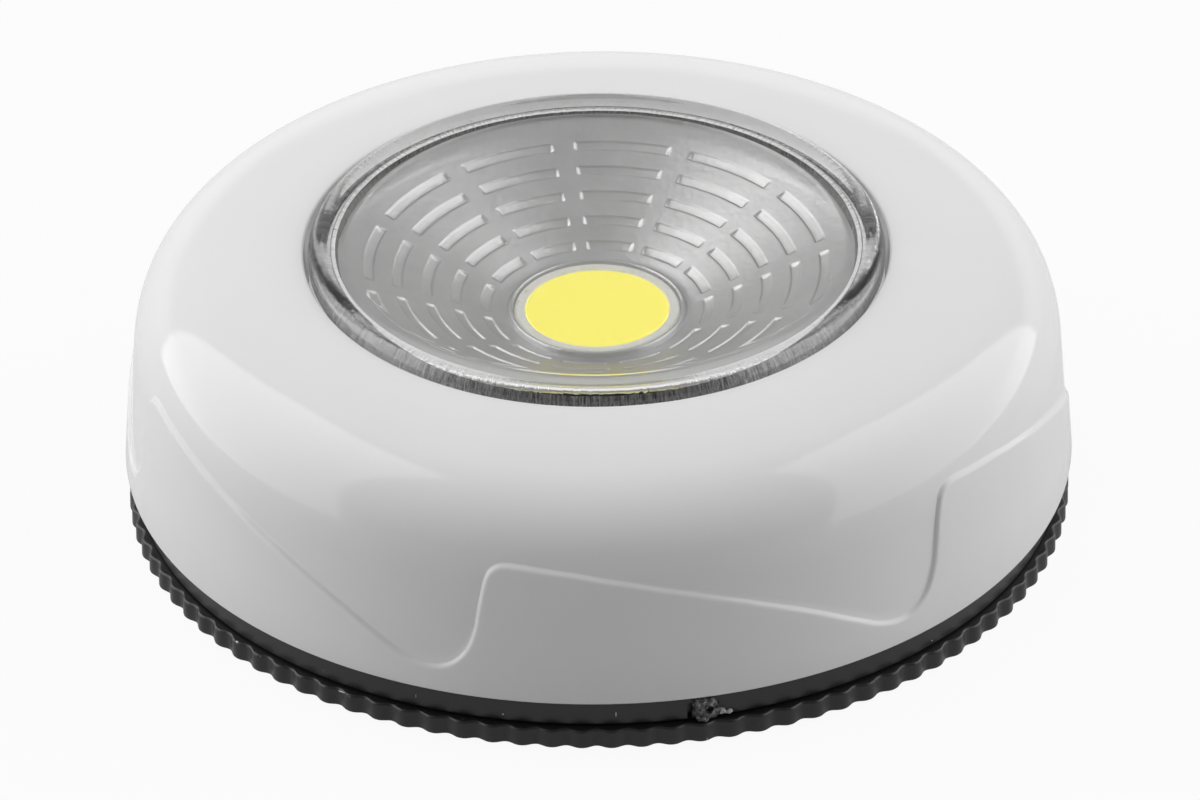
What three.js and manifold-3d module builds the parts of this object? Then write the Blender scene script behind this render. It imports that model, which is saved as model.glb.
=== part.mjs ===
// A round stick-on puck light: a white push head over a twist-off black base, lit by one flat LED
// Millimetres, +Z up, the adhesive pad's lower face on z = 0, the photographed front towards -Y
import * as THREE from "three";
import { mergeVertices } from "three/addons/utils/BufferGeometryUtils.js";
import Module from "manifold-3d";

const wasm = await Module();
wasm.setup();

// Clearances: between a turning or sliding piece and its guide, and the overrun of a cut
const runningGap = 0.3;
const cutOverrun = 1;

// Adhesive foam pad, sunk into the underside of the cover
const padRadius = 24;
const padThickness = 0.8;
const padProud = 0.4;

// Battery cover: a knurled twist-off disc with four bayonet lugs
const knurlProud = 0.07;
const knurlDepth = 0.42;
const knurlCount = 98;
const coverRimHeight = 1.4;
const coverFloor = 0.8;
const lugOuterWall = 1.1;
const lugStem = 1;
const lugBarb = 0.9;
const lugBarbHeight = 1;
const lugTurn = 14;
const lugCount = 4;
const twistTravel = 18;

// Battery chassis: the black moulding whose smooth edge shows under the shell
const bandInset = 0.63;
const bandHeight = 1.9;
const skirtStep = 0.6;
const skirtHeight = 2.5;
const chassisRoof = 0.9;
const bayGap = 0.35;
const bayWall = 1;
const bayCornerWall = 1.7;
const gateWidth = 1.7;
const gateProud = 0.35;
const gateAzimuth = 13;

// Three AAA cells side by side
const cellRadius = 5.25;
const cellLength = 44.5;
const cellSideGap = 0.5;
const cellFloorGap = 0.15;
const cellButtonRadius = 1.9;
const cellButtonHeight = 0.9;
const cellEdge = 0.5;

// Contact plates and the springs behind each cell's flat end
const contactThickness = 0.4;
const contactMargin = 1.05;
const contactSpacing = 3;
const contactTagWidth = 2;
const contactTagRise = 1.3;
const cellSpringRoom = 3.9;
const cellSpringWire = 0.25;
const cellSpringBase = 3.2;
const cellSpringTip = 2;
const cellSpringTurns = 3;

// Housing shell, with the room it keeps round the chassis
const shellWall = 1.5;
const skirtGap = 0.43;
const drumGap = 0.5;
const shoulderDrop = 0.1;
const shoulderPower = 2.2;
const crownLand = 3.85;
const openingLipRise = 0.55;
const openingLipRound = 0.22;
const collarWall = 1.25;

// Raised saw-tooth relief round the foot of the shell
const toothCount = 6;
const toothStart = -12.8;
const toothFoot = 1.9;
const toothPeakRise = 1.65;
const toothRelief = 0.32;
const toothEdge = 0.35;

// Screws that hold the chassis in the shell
const bossRadius = 2.6;
const bossAngle = 39.15;
const bossGap = 0.5;
const bossEdge = 1.1;
const screwShankRadius = 0.9;
const screwHeadRadius = 1.9;
const screwHeadHeight = 1.1;
const screwLength = 6;

// Push head: the travel, the carrier and its guide posts
const headTravel = 1.2;
const pressedGap = 0.2;
const plateThickness = 0.8;
const flangeEdge = 0.2;
const flangeCatch = 0.7;
const hubWall = 1.2;
const hubLedgeWidth = 1.3;
const hubTopGap = 0.343;
const postRadius = 1.1;
const postEdge = 0.3;
const postAngle = 24.3;
const postLength = 8;
const springWellRadius = 2.3;
const springWellDepth = 2.5;
const returnSpringRadius = 1.65;
const returnSpringWire = 0.22;
const returnSpringTurns = 3;

// Flat LED: an aluminium board, a silicone dam and the phosphor inside it
const boardRadius = 8.1;
const boardThickness = 0.8;
const damRadius = 5.95;
const damWidth = 0.8;
const damHeight = 0.42;
const phosphorHeight = 0.25;
const phosphorGap = 0.05;
const resistorLength = 3.2;
const resistorWidth = 1.6;
const resistorHeight = 0.55;
const resistorCover = 0.05;

// Metallised reflector with pressed bars in rings
const reflectorSlope = 21.2;
const reflectorSheet = 0.6;
const reflectorSkirt = 0.8;
const reflectorLipWidth = 0.5;
const reflectorLipRise = 0.42;
const barInnerMargin = 1.25;
const barOuterMargin = 2.45;
const barRingCount = 5;
const barsPerRing = 12;
const barTurn = 24;
const barWidth = 0.8;
const barDepth = 0.15;
const barStart = -6.5;
const reflectorBossRadius = 1.7;
const reflectorScrewGap = 0.98;
const reflectorScrewRadius = 1.52;
const reflectorScrewCount = 3;
const reflectorScrewHead = 0.5;
const reflectorScrewLength = 1.75;

// Clear lens cap: its wall, its window and the rim that stands round the window
const lensWall = 1.6;
const lensWindow = 1;
const lensWindowGap = 0.463;
const lensStandout = 0.45;
const lensRimRise = 0.35;
const lensRimDrop = 1.1;
const lensRimEdge = 1.05;
const lensRimLand = 0.95;
const lensRimFall = 0.6;

// Latching push switch with its plunger and solder tags
const switchSide = 6.6;
const switchHeight = 7.2;
const switchGap = 0.5;
const plungerRadius = 1.4;
const plungerDepth = 2.5;
const switchTagWidth = 1.2;
const switchTagThickness = 0.4;
const switchTagReach = 2.2;
const switchPocketEndGap = 1.9;
const switchPocketSideGap = 1;

// Insulated leads
const leadRadius = 0.45;
const leadRise = 0.35;
const leadTurnGap = 0.7;
const leadHoleRadius = 1.2;
const leadHoleEdge = 0.1;
const leadValleyDrop = 0.65;
const leadJoinReach = 12;
const leadPadReach = 2.5;
const leadPadInset = 1.3;
const batteryLeadTurn = 52;
const switchLeadTurn = -68;
const returnLeadBend = 1;
const leadTagClearTurn = 8;
const leadRoofTurn = 11;
const leadStep = 1.3;

// Facet counts
const roundSides = 48;
const smallSides = 10;
const cellSides = 20;
const wireSides = 3;
const arcSides = 3;

// Angles
const degree = Math.PI / 180;
const fullTurn = 2 * Math.PI;
const quarterTurn = Math.PI / 2;

// Heights of the stack, from the pad up to the LED board
const coverTop = padThickness + coverFloor;
const coverRimTop = padProud + coverRimHeight;
const bandBottom = coverRimTop + runningGap;
const bandTop = bandBottom + bandHeight;
const shellBottom = bandTop + runningGap;
const cellAxis = coverTop + cellFloorGap + cellRadius;
const cellTop = cellAxis + cellRadius;
const bayTop = cellTop + bayGap;
const chassisTop = bayTop + chassisRoof;
const plateBottom = chassisTop + headTravel + reflectorScrewHead + pressedGap;
const plateTop = plateBottom + plateThickness;
const hubBottom = cellTop + headTravel + runningGap;
const boardBottom = hubBottom + resistorHeight + resistorCover;
const boardTop = boardBottom + boardThickness;
const collarBottom = plateTop + runningGap;

// Battery bay round the cells
const cellPitch = 2 * cellRadius + cellSideGap;
const bayHalfWidth = cellPitch + cellRadius + bayGap;
const bayHalfLength = (cellLength + cellSpringRoom) / 2 + contactThickness;
const contactFace = bayHalfLength - contactThickness;
const contactWidth = cellPitch - contactSpacing;
const contactHeight = 2 * (cellRadius - contactMargin);

// Outwards from the bay: the switch beside it, the head's flange over it and the leads round the flange
const switchReach = bayHalfWidth + bayWall + switchGap + switchSide / 2;
const flangeRadius = switchReach + plungerRadius + flangeEdge;
const postReach = flangeRadius - postEdge - postRadius;
const leadRun = flangeRadius + leadTurnGap + leadRadius;
const bossReach = leadRun + leadRadius + bossGap + bossRadius;

// The drum goes round the bay's corners and the bosses, and the shell, band and cover go round the drum
const bayCornerReach = Math.hypot(bayHalfWidth, bayHalfLength) + bayCornerWall;
const drumRadius = Math.max(bayCornerReach, bossReach + bossRadius + bossEdge);
const skirtRadius = drumRadius + skirtStep;
const lugInnerRadius = skirtRadius - lugOuterWall - runningGap - lugBarb - lugStem;
const shellBottomRadius = skirtRadius + skirtGap + shellWall;
const shellWallTopRadius = drumRadius + drumGap + shellWall;
const bandRadius = shellBottomRadius - bandInset;
const knurlCrestRadius = shellBottomRadius + knurlProud;

// Inwards from the flange: the collar that catches it, the lens in the collar and the reflector in the lens
const collarRadius = flangeRadius - flangeCatch;
const openingRadius = collarRadius - collarWall;
const lensRadius = openingRadius - runningGap;
const reflectorRadius = lensRadius - lensWall - runningGap;
const reflectorHoleRadius = damRadius + runningGap;

// The reflector's shining face at a radius, its seat on the board and the heights that follow its rim
const reflectorRise = Math.tan(reflectorSlope * degree);
const reflectorFace = (radius) => boardTop + (radius - reflectorHoleRadius) * reflectorRise;
const reflectorDrop = reflectorSheet / Math.cos(reflectorSlope * degree);
const reflectorSeat = reflectorHoleRadius + reflectorDrop / reflectorRise;
const lensWindowTop = reflectorFace(reflectorRadius) + lensWindowGap + lensWindow;
const lensRimTop = lensWindowTop + lensRimRise;
const openingLipHeight = lensWindowTop - lensStandout;
const shellCrownHeight = openingLipHeight - openingLipRise;
const shellCrownRadius = openingRadius + crownLand;
const shellWallTop = chassisTop - shoulderDrop;
const toothLow = shellBottom + toothFoot;
const toothHigh = shellWallTop + toothPeakRise;

// The carrier's hub round the board, flaring out to the plate under the reflector's slope
const hubRadius = boardRadius + runningGap + hubWall;
const hubLedgeRadius = boardRadius - hubLedgeWidth;
const hubTopRadius = reflectorSeat + (plateTop + hubTopGap - boardTop) / reflectorRise;
const reflectorBossReach = hubTopRadius + reflectorScrewGap + reflectorScrewRadius;

// Drops all but the positions and joins the corners that meet, leaving no flat triangle
function welded(geometry) {
  const bare = geometry.clone();
  bare.deleteAttribute("normal");
  bare.deleteAttribute("uv");
  const merged = mergeVertices(bare);
  const kept = [];
  for (let i = 0; i < merged.index.count; i += 3) {
    const [a, b, c] = [0, 1, 2].map((k) => merged.index.getX(i + k));
    if (a !== b && b !== c && c !== a) kept.push(a, b, c);
  }
  merged.setIndex(kept);
  return merged;
}

// A closed geometry as a solid that can be joined and cut
function solidOf(geometry) {
  const merged = welded(geometry);
  return new wasm.Manifold(new wasm.Mesh({
    numProp: 3,
    vertProperties: merged.attributes.position.array,
    triVerts: new Uint32Array(merged.index.array),
  }));
}

// A solid back as a geometry
function geometryOf(solid) {
  const mesh = solid.getMesh();
  const geometry = new THREE.BufferGeometry();
  geometry.setAttribute("position", new THREE.BufferAttribute(mesh.vertProperties, 3));
  geometry.setIndex(new THREE.BufferAttribute(mesh.triVerts, 1));
  return geometry;
}

// The first geometry with others joined on and then others cut away
function carved(body, joined, cut) {
  let solid = solidOf(body);
  for (const piece of joined) solid = solid.add(solidOf(piece));
  for (const piece of cut) solid = solid.subtract(solidOf(piece));
  return geometryOf(solid);
}

// A turned body about +Z from an [radius, height] outline that starts and ends on the axis or closes
function turned(outline, sides) {
  const area = outline.reduce((sum, [r, z], i) => {
    const [nextR, nextZ] = outline[(i + 1) % outline.length];
    return sum + r * nextZ - nextR * z;
  }, 0);
  const points = outline.map(([r, z]) => new THREE.Vector2(r, z));
  if (outline[0][0] > 0) points.push(points[0].clone());
  if (area < 0) points.reverse();
  return new THREE.LatheGeometry(points, sides).rotateX(quarterTurn);
}

// An upright round rod
function rod(radius, bottom, top, x, y, sides) {
  const body = new THREE.CylinderGeometry(radius, radius, top - bottom, sides).rotateX(quarterTurn);
  return body.translate(x, y, (bottom + top) / 2);
}

// A box between two corners
function block(low, high) {
  const body = new THREE.BoxGeometry(...high.map((h, i) => h - low[i]));
  return body.translate(...low.map((l, i) => (l + high[i]) / 2));
}

// A piece of a ring between two radii, two heights and two angles in degrees from +X
function ringPiece(inner, outer, bottom, top, start, end) {
  const shape = new THREE.Shape();
  shape.absarc(0, 0, outer, start * degree, end * degree, false);
  shape.absarc(0, 0, inner, end * degree, start * degree, true);
  const settings = { depth: top - bottom, bevelEnabled: false, curveSegments: arcSides };
  return new THREE.ExtrudeGeometry(shape, settings).translate(0, 0, bottom);
}

// A closed ring-like body whose outline may change from one azimuth to the next, 0 facing -Y
function ringed(azimuths, outlineAt) {
  const rows = azimuths.map((azimuth) => outlineAt(azimuth).map(([r, z]) => {
    return [r * Math.sin(azimuth * degree), -r * Math.cos(azimuth * degree), z];
  }));
  const count = rows[0].length;
  const index = [];
  rows.forEach((row, i) => {
    const next = (i + 1) % rows.length;
    for (let j = 0; j < count; j += 1) {
      const [a, b] = [i * count + j, next * count + j];
      const [c, d] = [i * count + (j + 1) % count, next * count + (j + 1) % count];
      index.push(a, b, c, b, d, c);
    }
  });
  const geometry = new THREE.BufferGeometry();
  geometry.setAttribute("position", new THREE.Float32BufferAttribute(rows.flat(2), 3));
  geometry.setIndex(index);
  return geometry;
}

// A round wire through a list of centre points, with the cross directions given at each point
function wireThrough(centres, sides, wireRadius) {
  const positions = [];
  const index = [];
  centres.forEach(({ at, out, up }) => {
    for (let k = 0; k < sides; k += 1) {
      const angle = (k / sides) * fullTurn;
      const corner = at.clone().addScaledVector(out, wireRadius * Math.cos(angle));
      corner.addScaledVector(up, wireRadius * Math.sin(angle));
      positions.push(corner.x, corner.y, corner.z);
    }
  });
  const last = (centres.length - 1) * sides;
  for (let i = 0; i < centres.length - 1; i += 1) {
    for (let k = 0; k < sides; k += 1) {
      const [a, b] = [i * sides + k, i * sides + (k + 1) % sides];
      index.push(a, a + sides, b, b, a + sides, b + sides);
    }
  }
  for (let k = 1; k < sides - 1; k += 1) {
    index.push(0, k, k + 1, last, last + k + 1, last + k);
  }
  const geometry = new THREE.BufferGeometry();
  geometry.setAttribute("position", new THREE.Float32BufferAttribute(positions, 3));
  geometry.setIndex(index);
  return geometry;
}

// A spring wound upwards from z = 0 in one unbroken wire, and its least gap to itself printed
function coil(name, startRadius, endRadius, length, turns, wireRadius) {
  const stepsPerTurn = 8;
  const wireFacets = 5;
  const centres = [];
  for (let i = 0; i <= turns * stepsPerTurn; i += 1) {
    const share = i / (turns * stepsPerTurn);
    const angle = share * turns * fullTurn;
    const out = new THREE.Vector3(Math.cos(angle), Math.sin(angle), 0);
    const at = out.clone().multiplyScalar(startRadius + (endRadius - startRadius) * share);
    at.z = share * length;
    centres.push({ at, out, up: new THREE.Vector3(0, 0, 1) });
  }
  let least = Infinity;
  for (let i = 0; i < centres.length; i += 1) {
    for (let j = i + stepsPerTurn / 2; j < centres.length; j += 1) {
      least = Math.min(least, centres[i].at.distanceTo(centres[j].at) - 2 * wireRadius);
    }
  }
  console.log(`${name}: least gap to itself ${least.toFixed(2)} mm`);
  return wireThrough(centres, wireFacets, wireRadius);
}

// An insulated lead along a smooth line through a few points
function lead(points) {
  const section = new THREE.Shape();
  section.absarc(0, 0, leadRadius, 0, fullTurn, false);
  const path = new THREE.CatmullRomCurve3(points.map((p) => new THREE.Vector3(...p)), false, "centripetal");
  const steps = Math.ceil(path.getLength() / leadStep);
  return new THREE.ExtrudeGeometry(section, { extrudePath: path, steps, curveSegments: wireSides });
}

// A pan-head screw with a cross recess, pointing up from its head's lower face at z = 0
function screw(headRadius, headHeight, shankRadius, length) {
  const [reachShare, halfShare, depthShare] = [0.6, 0.14, 0.5];
  const [crownShare, edgeShare] = [0.72, 0.45];
  const recessReach = headRadius * reachShare;
  const recessHalf = headRadius * halfShare;
  const recessDepth = headHeight * depthShare;
  const body = turned([
    [0, 0],
    [headRadius * crownShare, 0],
    [headRadius, headHeight * edgeShare],
    [headRadius, headHeight],
    [shankRadius, headHeight],
    [shankRadius, length - shankRadius],
    [0, length],
  ], smallSides);
  const below = -cutOverrun;
  return carved(body, [], [
    block([-recessReach, -recessHalf, below], [recessReach, recessHalf, recessDepth]),
    block([-recessHalf, -recessReach, below], [recessHalf, recessReach, recessDepth]),
  ]);
}

// Foam disc that sticks the light to a cabinet or wall
function adhesivePad() {
  return rod(padRadius, 0, padThickness, 0, 0, roundSides);
}

// Knurled outline: broad round crests with narrower valleys
function knurlShape() {
  const crestShares = [-0.2, 0.2, 0.5];
  const depthShares = [0, 0, 1];
  const shape = new THREE.Shape();
  for (let i = 0; i < knurlCount; i += 1) {
    crestShares.forEach((crest, k) => {
      const angle = ((i + crest) / knurlCount) * fullTurn;
      const radius = knurlCrestRadius - knurlDepth * depthShares[k];
      const place = [radius * Math.cos(angle), radius * Math.sin(angle)];
      if (i + k === 0) shape.moveTo(...place);
      else shape.lineTo(...place);
    });
  }
  return shape;
}

// Twist-off battery cover
function batteryCover() {
  const disc = new THREE.ExtrudeGeometry(knurlShape(), { depth: coverRimHeight, bevelEnabled: false });
  disc.translate(0, 0, padProud);
  const barbTop = bandTop + runningGap * 2 + lugBarbHeight;
  const lugs = [];
  for (let i = 0; i < lugCount; i += 1) {
    const middle = (360 * i) / lugCount;
    const [start, end] = [middle - lugTurn / 2, middle + lugTurn / 2];
    const stemOuter = lugInnerRadius + lugStem;
    lugs.push(ringPiece(lugInnerRadius, stemOuter, coverTop - coverFloor / 2, barbTop, start, end));
    const barbBottom = barbTop - lugBarbHeight;
    lugs.push(ringPiece(stemOuter - lugStem / 2, stemOuter + lugBarb, barbBottom, barbTop, start, end));
  }
  const recess = rod(padRadius + runningGap, padProud - cutOverrun, padThickness, 0, 0, roundSides);
  const dish = rod(drumRadius, coverTop, coverRimTop + cutOverrun, 0, 0, roundSides);
  const plate = carved(disc, [], [recess, dish]);
  return carved(plate, lugs, []);
}

// Room in the chassis for the lugs: a stem slot, an undercut over the ledge and an entry window
function lugRoom() {
  const slack = runningGap / (lugInnerRadius * degree);
  const inner = lugInnerRadius - runningGap;
  const stemOuter = lugInnerRadius + lugStem + runningGap;
  const barbOuter = lugInnerRadius + lugStem + lugBarb + runningGap;
  const undercutBottom = bandTop + runningGap;
  const undercutTop = undercutBottom + lugBarbHeight + runningGap * 2;
  const below = bandBottom - cutOverrun;
  const cuts = [];
  for (let i = 0; i < lugCount; i += 1) {
    const middle = (360 * i) / lugCount;
    const locked = middle + lugTurn / 2 + slack;
    const entryEnd = middle + lugTurn / 2 - twistTravel + slack;
    const entryStart = middle - lugTurn / 2 - twistTravel - slack;
    cuts.push(ringPiece(inner, stemOuter, below, undercutBottom + runningGap, entryStart, locked));
    cuts.push(ringPiece(inner, barbOuter, undercutBottom, undercutTop, entryStart, locked));
    cuts.push(ringPiece(inner, barbOuter, below, undercutBottom + runningGap, entryStart, entryEnd));
  }
  return cuts;
}

// Four places mirrored about both axes, at a reach and an angle in degrees from +X
function fourPlaces(reach, angle) {
  return [angle, 180 - angle, 180 + angle, 360 - angle].map((turn) => {
    return [reach * Math.cos(turn * degree), reach * Math.sin(turn * degree)];
  });
}

// The four places of the chassis screws
const bossPlaces = fourPlaces(bossReach, bossAngle);

// The four places of the guide posts
const postPlaces = fourPlaces(postReach, postAngle);

const contactTagPlace = cellPitch + contactTagWidth;
const switchFloor = chassisTop - runningGap * 2 - switchHeight;
const springFloor = chassisTop - springWellDepth;
const postBottom = plateBottom - postLength;
const screwHeadBottom = bayTop - screwHeadHeight;
const leadHeight = chassisTop + leadRise + leadRadius;
const leadValley = cellTop - leadValleyDrop;
const leadValleyX = cellPitch / 2;
const leadHoleReach = contactFace - leadHoleRadius - leadHoleEdge;
const windowFlareShare = 0.8;
const windowRadius = hubRadius + (hubTopRadius - hubRadius) * windowFlareShare;
const switchPocketEnd = switchReach + switchSide / 2 + switchTagThickness + switchPocketEndGap;
const switchPocketSide = switchSide / 2 + switchPocketSideGap;

// Black battery tray with the smooth band that shows
function batteryChassis() {
  const drum = turned([
    [0, bandBottom],
    [bandRadius, bandBottom],
    [bandRadius, bandTop],
    [skirtRadius, bandTop],
    [skirtRadius, bandTop + skirtHeight],
    [drumRadius, bandTop + skirtHeight],
    [drumRadius, chassisTop],
    [0, chassisTop],
  ], roundSides);
  const gate = block(
    [-gateWidth / 2, -bandRadius - gateProud, bandBottom],
    [gateWidth / 2, -bandRadius + gateProud * 2, bandTop],
  );
  gate.rotateZ(gateAzimuth * degree);
  const under = bandBottom - cutOverrun;
  const over = chassisTop + cutOverrun;
  const pocketStart = bayHalfWidth + bayWall;
  const cuts = [
    block([-bayHalfWidth, -bayHalfLength, under], [bayHalfWidth, bayHalfLength, bayTop]),
    rod(windowRadius, bayTop - cutOverrun, over, 0, 0, roundSides / 2),
    block([pocketStart, -switchPocketSide, switchFloor], [switchPocketEnd, switchPocketSide, over]),
    block([-switchPocketEnd, -switchPocketSide, under], [-pocketStart, switchPocketSide, bayTop]),
    ...lugRoom(),
  ];
  for (const [x, y] of bossPlaces) {
    cuts.push(rod(screwHeadRadius + runningGap, under, bayTop, x, y, cellSides));
    cuts.push(rod(screwShankRadius + runningGap, bayTop - cutOverrun, over, x, y, smallSides));
  }
  for (const [x, y] of postPlaces) {
    cuts.push(rod(springWellRadius, springFloor, over, x, y, cellSides));
    cuts.push(rod(postRadius + runningGap, postBottom - headTravel - runningGap, over, x, y, smallSides));
  }
  for (const side of [-1, 1]) {
    const tagX = side * contactTagPlace;
    const tagHalf = contactTagWidth / 2 + runningGap;
    const tagY = side * bayHalfLength;
    cuts.push(block(
      [tagX - tagHalf, Math.min(tagY, tagY - side * (contactThickness + runningGap)), bayTop - cutOverrun],
      [tagX + tagHalf, Math.max(tagY, tagY - side * (contactThickness + runningGap)), over],
    ));
    cuts.push(rod(leadHoleRadius, bayTop - cutOverrun, over, side * leadValleyX, -leadHoleReach, smallSides));
  }
  return carved(drum, [gate], cuts);
}

// Shares of the tooth pitch and of the tooth height along the steep side of one tooth
const steepShares = [[0.86, 0], [0.91, 0.02], [0.943, 0.17], [0.963, 0.45], [0.987, 0.88]];
const slopeShare = 0.833;
const slopePower = 2.3;
const slopeColumnShares = [0, 0.1, 0.2, 0.3, 0.4, 0.5, 0.6, 0.7, 0.78];

// Azimuths round the shell, each with the height of the relief's edge there
function toothColumns() {
  const rise = toothHigh - toothLow;
  const columns = [];
  for (let tooth = 0; tooth < toothCount; tooth += 1) {
    const place = (share) => toothStart + ((tooth + share) * 360) / toothCount;
    for (const share of slopeColumnShares) {
      const height = toothLow + rise * (1 - (share / slopeShare) ** slopePower);
      columns.push([place(share), height]);
    }
    for (const [share, height] of steepShares) columns.push([place(share), toothLow + rise * height]);
  }
  return columns;
}

// Outer face of the plain shell: a share of 0 is its lower edge and 1 its crown
const wallShare = 0.42;

function shellFace(share) {
  if (share <= wallShare) {
    const up = share / wallShare;
    return [
      shellBottomRadius + (shellWallTopRadius - shellBottomRadius) * up,
      shellBottom + (shellWallTop - shellBottom) * up,
    ];
  }
  const angle = ((share - wallShare) / (1 - wallShare)) * quarterTurn;
  return [
    shellCrownRadius + (shellWallTopRadius - shellCrownRadius) * Math.cos(angle) ** (2 / shoulderPower),
    shellWallTop + (shellCrownHeight - shellWallTop) * Math.sin(angle) ** (2 / shoulderPower),
  ];
}

// The share at which the outer face has a given height
function shellShareAt(height) {
  if (height <= shellWallTop) return (wallShare * (height - shellBottom)) / (shellWallTop - shellBottom);
  const up = (height - shellWallTop) / (shellCrownHeight - shellWallTop);
  return wallShare + (1 - wallShare) * (Math.asin(up ** (shoulderPower / 2)) / quarterTurn);
}

// White shell with the relief, the opening's collar and the screw bosses
function housingShell() {
  const flankShares = [0, 0.5];
  const shoulderShares = [0, 0.22, 0.44, 0.66, 0.84];
  const shoulderStart = shellShareAt(toothHigh + toothEdge);
  const ceilingShares = [[0.36, 0.8], [0.1, 0.45]];
  const ceiling = shellCrownHeight - shellWall;
  const innerWallTop = shellWallTopRadius - shellWall;
  const innerSpread = shellWallTopRadius - shellCrownRadius;
  const innerRise = ceiling - shellWallTop;
  const inner = [
    [openingRadius, openingLipHeight - openingLipRound],
    [openingRadius, collarBottom],
    [collarRadius, collarBottom],
    [collarRadius, ceiling],
    [shellCrownRadius, ceiling],
    ...ceilingShares.map(([inShare, upShare]) => {
      return [innerWallTop - innerSpread * inShare, shellWallTop + innerRise * upShare];
    }),
    [innerWallTop, shellWallTop - shellWall / 2],
    [shellBottomRadius - shellWall, shellBottom],
  ];
  const shoulder = shoulderShares.map((share) => shellFace(shoulderStart + (1 - shoulderStart) * share));
  const heights = new Map(toothColumns());
  const outlineAt = (azimuth) => {
    const edge = heights.get(azimuth);
    const raised = (height) => {
      const [r, z] = shellFace(shellShareAt(height));
      return [r + toothRelief, z];
    };
    const start = shellShareAt(edge + toothEdge / 2);
    const flank = flankShares.map((share) => shellFace(start + (shoulderStart - start) * share));
    return [
      raised(shellBottom),
      raised(edge - toothEdge / 2),
      ...flank,
      ...shoulder,
      [shellCrownRadius, shellCrownHeight],
      [openingRadius + openingLipRound, openingLipHeight],
      ...inner,
    ];
  };
  const shell = ringed([...heights.keys()], outlineAt);
  const bosses = bossPlaces.map(([x, y]) => {
    return rod(bossRadius, chassisTop + runningGap, ceiling - shellWall / 4, x, y, cellSides);
  });
  const boreTop = screwHeadBottom + screwLength + runningGap;
  const bores = bossPlaces.map(([x, y]) => {
    return rod(screwShankRadius + runningGap, chassisTop - cutOverrun, boreTop, x, y, smallSides);
  });
  return carved(shell, bosses, bores);
}

// One AAA cell lying along Y with its button towards +Y
function cell() {
  const body = cellLength - cellButtonHeight;
  return turned([
    [0, 0],
    [cellRadius - cellEdge, 0],
    [cellRadius, cellEdge],
    [cellRadius, body - cellEdge],
    [cellRadius - cellEdge, body],
    [cellButtonRadius, body],
    [cellButtonRadius, cellLength],
    [0, cellLength],
  ], cellSides).rotateX(-quarterTurn);
}

// A contact plate that stands against one end of the bay, side 1 being the +Y end
function contactPlate(from, to, side, tagX) {
  const low = Math.min(side * contactFace, side * bayHalfLength);
  const bottom = cellAxis - contactHeight / 2;
  const plate = block([from, low, bottom], [to, low + contactThickness, cellAxis + contactHeight / 2]);
  if (tagX === undefined) return plate;
  const tagHalf = contactTagWidth / 2;
  const tag = block(
    [tagX - tagHalf, low, cellAxis],
    [tagX + tagHalf, low + contactThickness, chassisTop + contactTagRise],
  );
  return carved(plate, [tag], []);
}

// Spring behind one cell's flat end, side 1 standing on the plate at the +Y end
function cellSpring(name, x, side) {
  const seat = cellSpringWire + runningGap / 2;
  const length = cellSpringRoom - seat * 2;
  const spring = coil(name, cellSpringBase, cellSpringTip, length, cellSpringTurns, cellSpringWire);
  spring.rotateX(side * quarterTurn);
  return spring.translate(x, side * (contactFace - seat), cellAxis);
}

// Latching switch standing beside the cells, with a well for its plunger
function switchCase() {
  const half = switchSide / 2;
  const top = switchFloor + switchHeight;
  const body = block([switchReach - half, -half, switchFloor], [switchReach + half, half, top]);
  const well = rod(
    plungerRadius + runningGap,
    top - plungerDepth - headTravel - runningGap,
    top + cutOverrun,
    switchReach,
    0,
    cellSides,
  );
  return carved(body, [], [well]);
}

function switchPlunger() {
  const bottom = switchFloor + switchHeight - plungerDepth;
  return rod(plungerRadius, bottom, plateBottom, switchReach, 0, cellSides);
}

// Solder tag on the outer side of the switch
function switchTag(side) {
  const inner = switchReach + switchSide / 2;
  const middle = side * switchTagReach;
  return block(
    [inner, middle - switchTagWidth / 2, switchFloor + switchHeight / 3],
    [inner + switchTagThickness, middle + switchTagWidth / 2, chassisTop + contactTagRise],
  );
}

// Dish that carries the LED board, the reflector and the lens, with four guide posts
function headCarrier() {
  const dish = turned([
    [hubLedgeRadius, hubBottom],
    [hubRadius, hubBottom],
    [hubTopRadius, plateBottom],
    [flangeRadius, plateBottom],
    [flangeRadius, plateTop],
    [hubTopRadius, plateTop],
    [hubRadius, boardTop],
    [boardRadius + runningGap, boardTop],
    [boardRadius + runningGap, boardBottom],
    [hubLedgeRadius, boardBottom],
  ], roundSides);
  const postTop = plateTop - plateThickness / 2;
  const posts = postPlaces.map(([x, y]) => rod(postRadius, postBottom, postTop, x, y, smallSides));
  const [under, over] = [plateBottom - cutOverrun, plateTop + cutOverrun];
  const holes = reflectorScrewPlaces().map(([x, y]) => {
    return rod(screwShankRadius + runningGap, under, over, x, y, smallSides);
  });
  return carved(dish, posts, holes);
}

// Places of the small screws that hold the reflector down
function reflectorScrewPlaces() {
  const places = [];
  for (let i = 0; i < reflectorScrewCount; i += 1) {
    const turn = quarterTurn + (i / reflectorScrewCount) * fullTurn;
    places.push([reflectorBossReach * Math.cos(turn), reflectorBossReach * Math.sin(turn)]);
  }
  return places;
}

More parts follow.
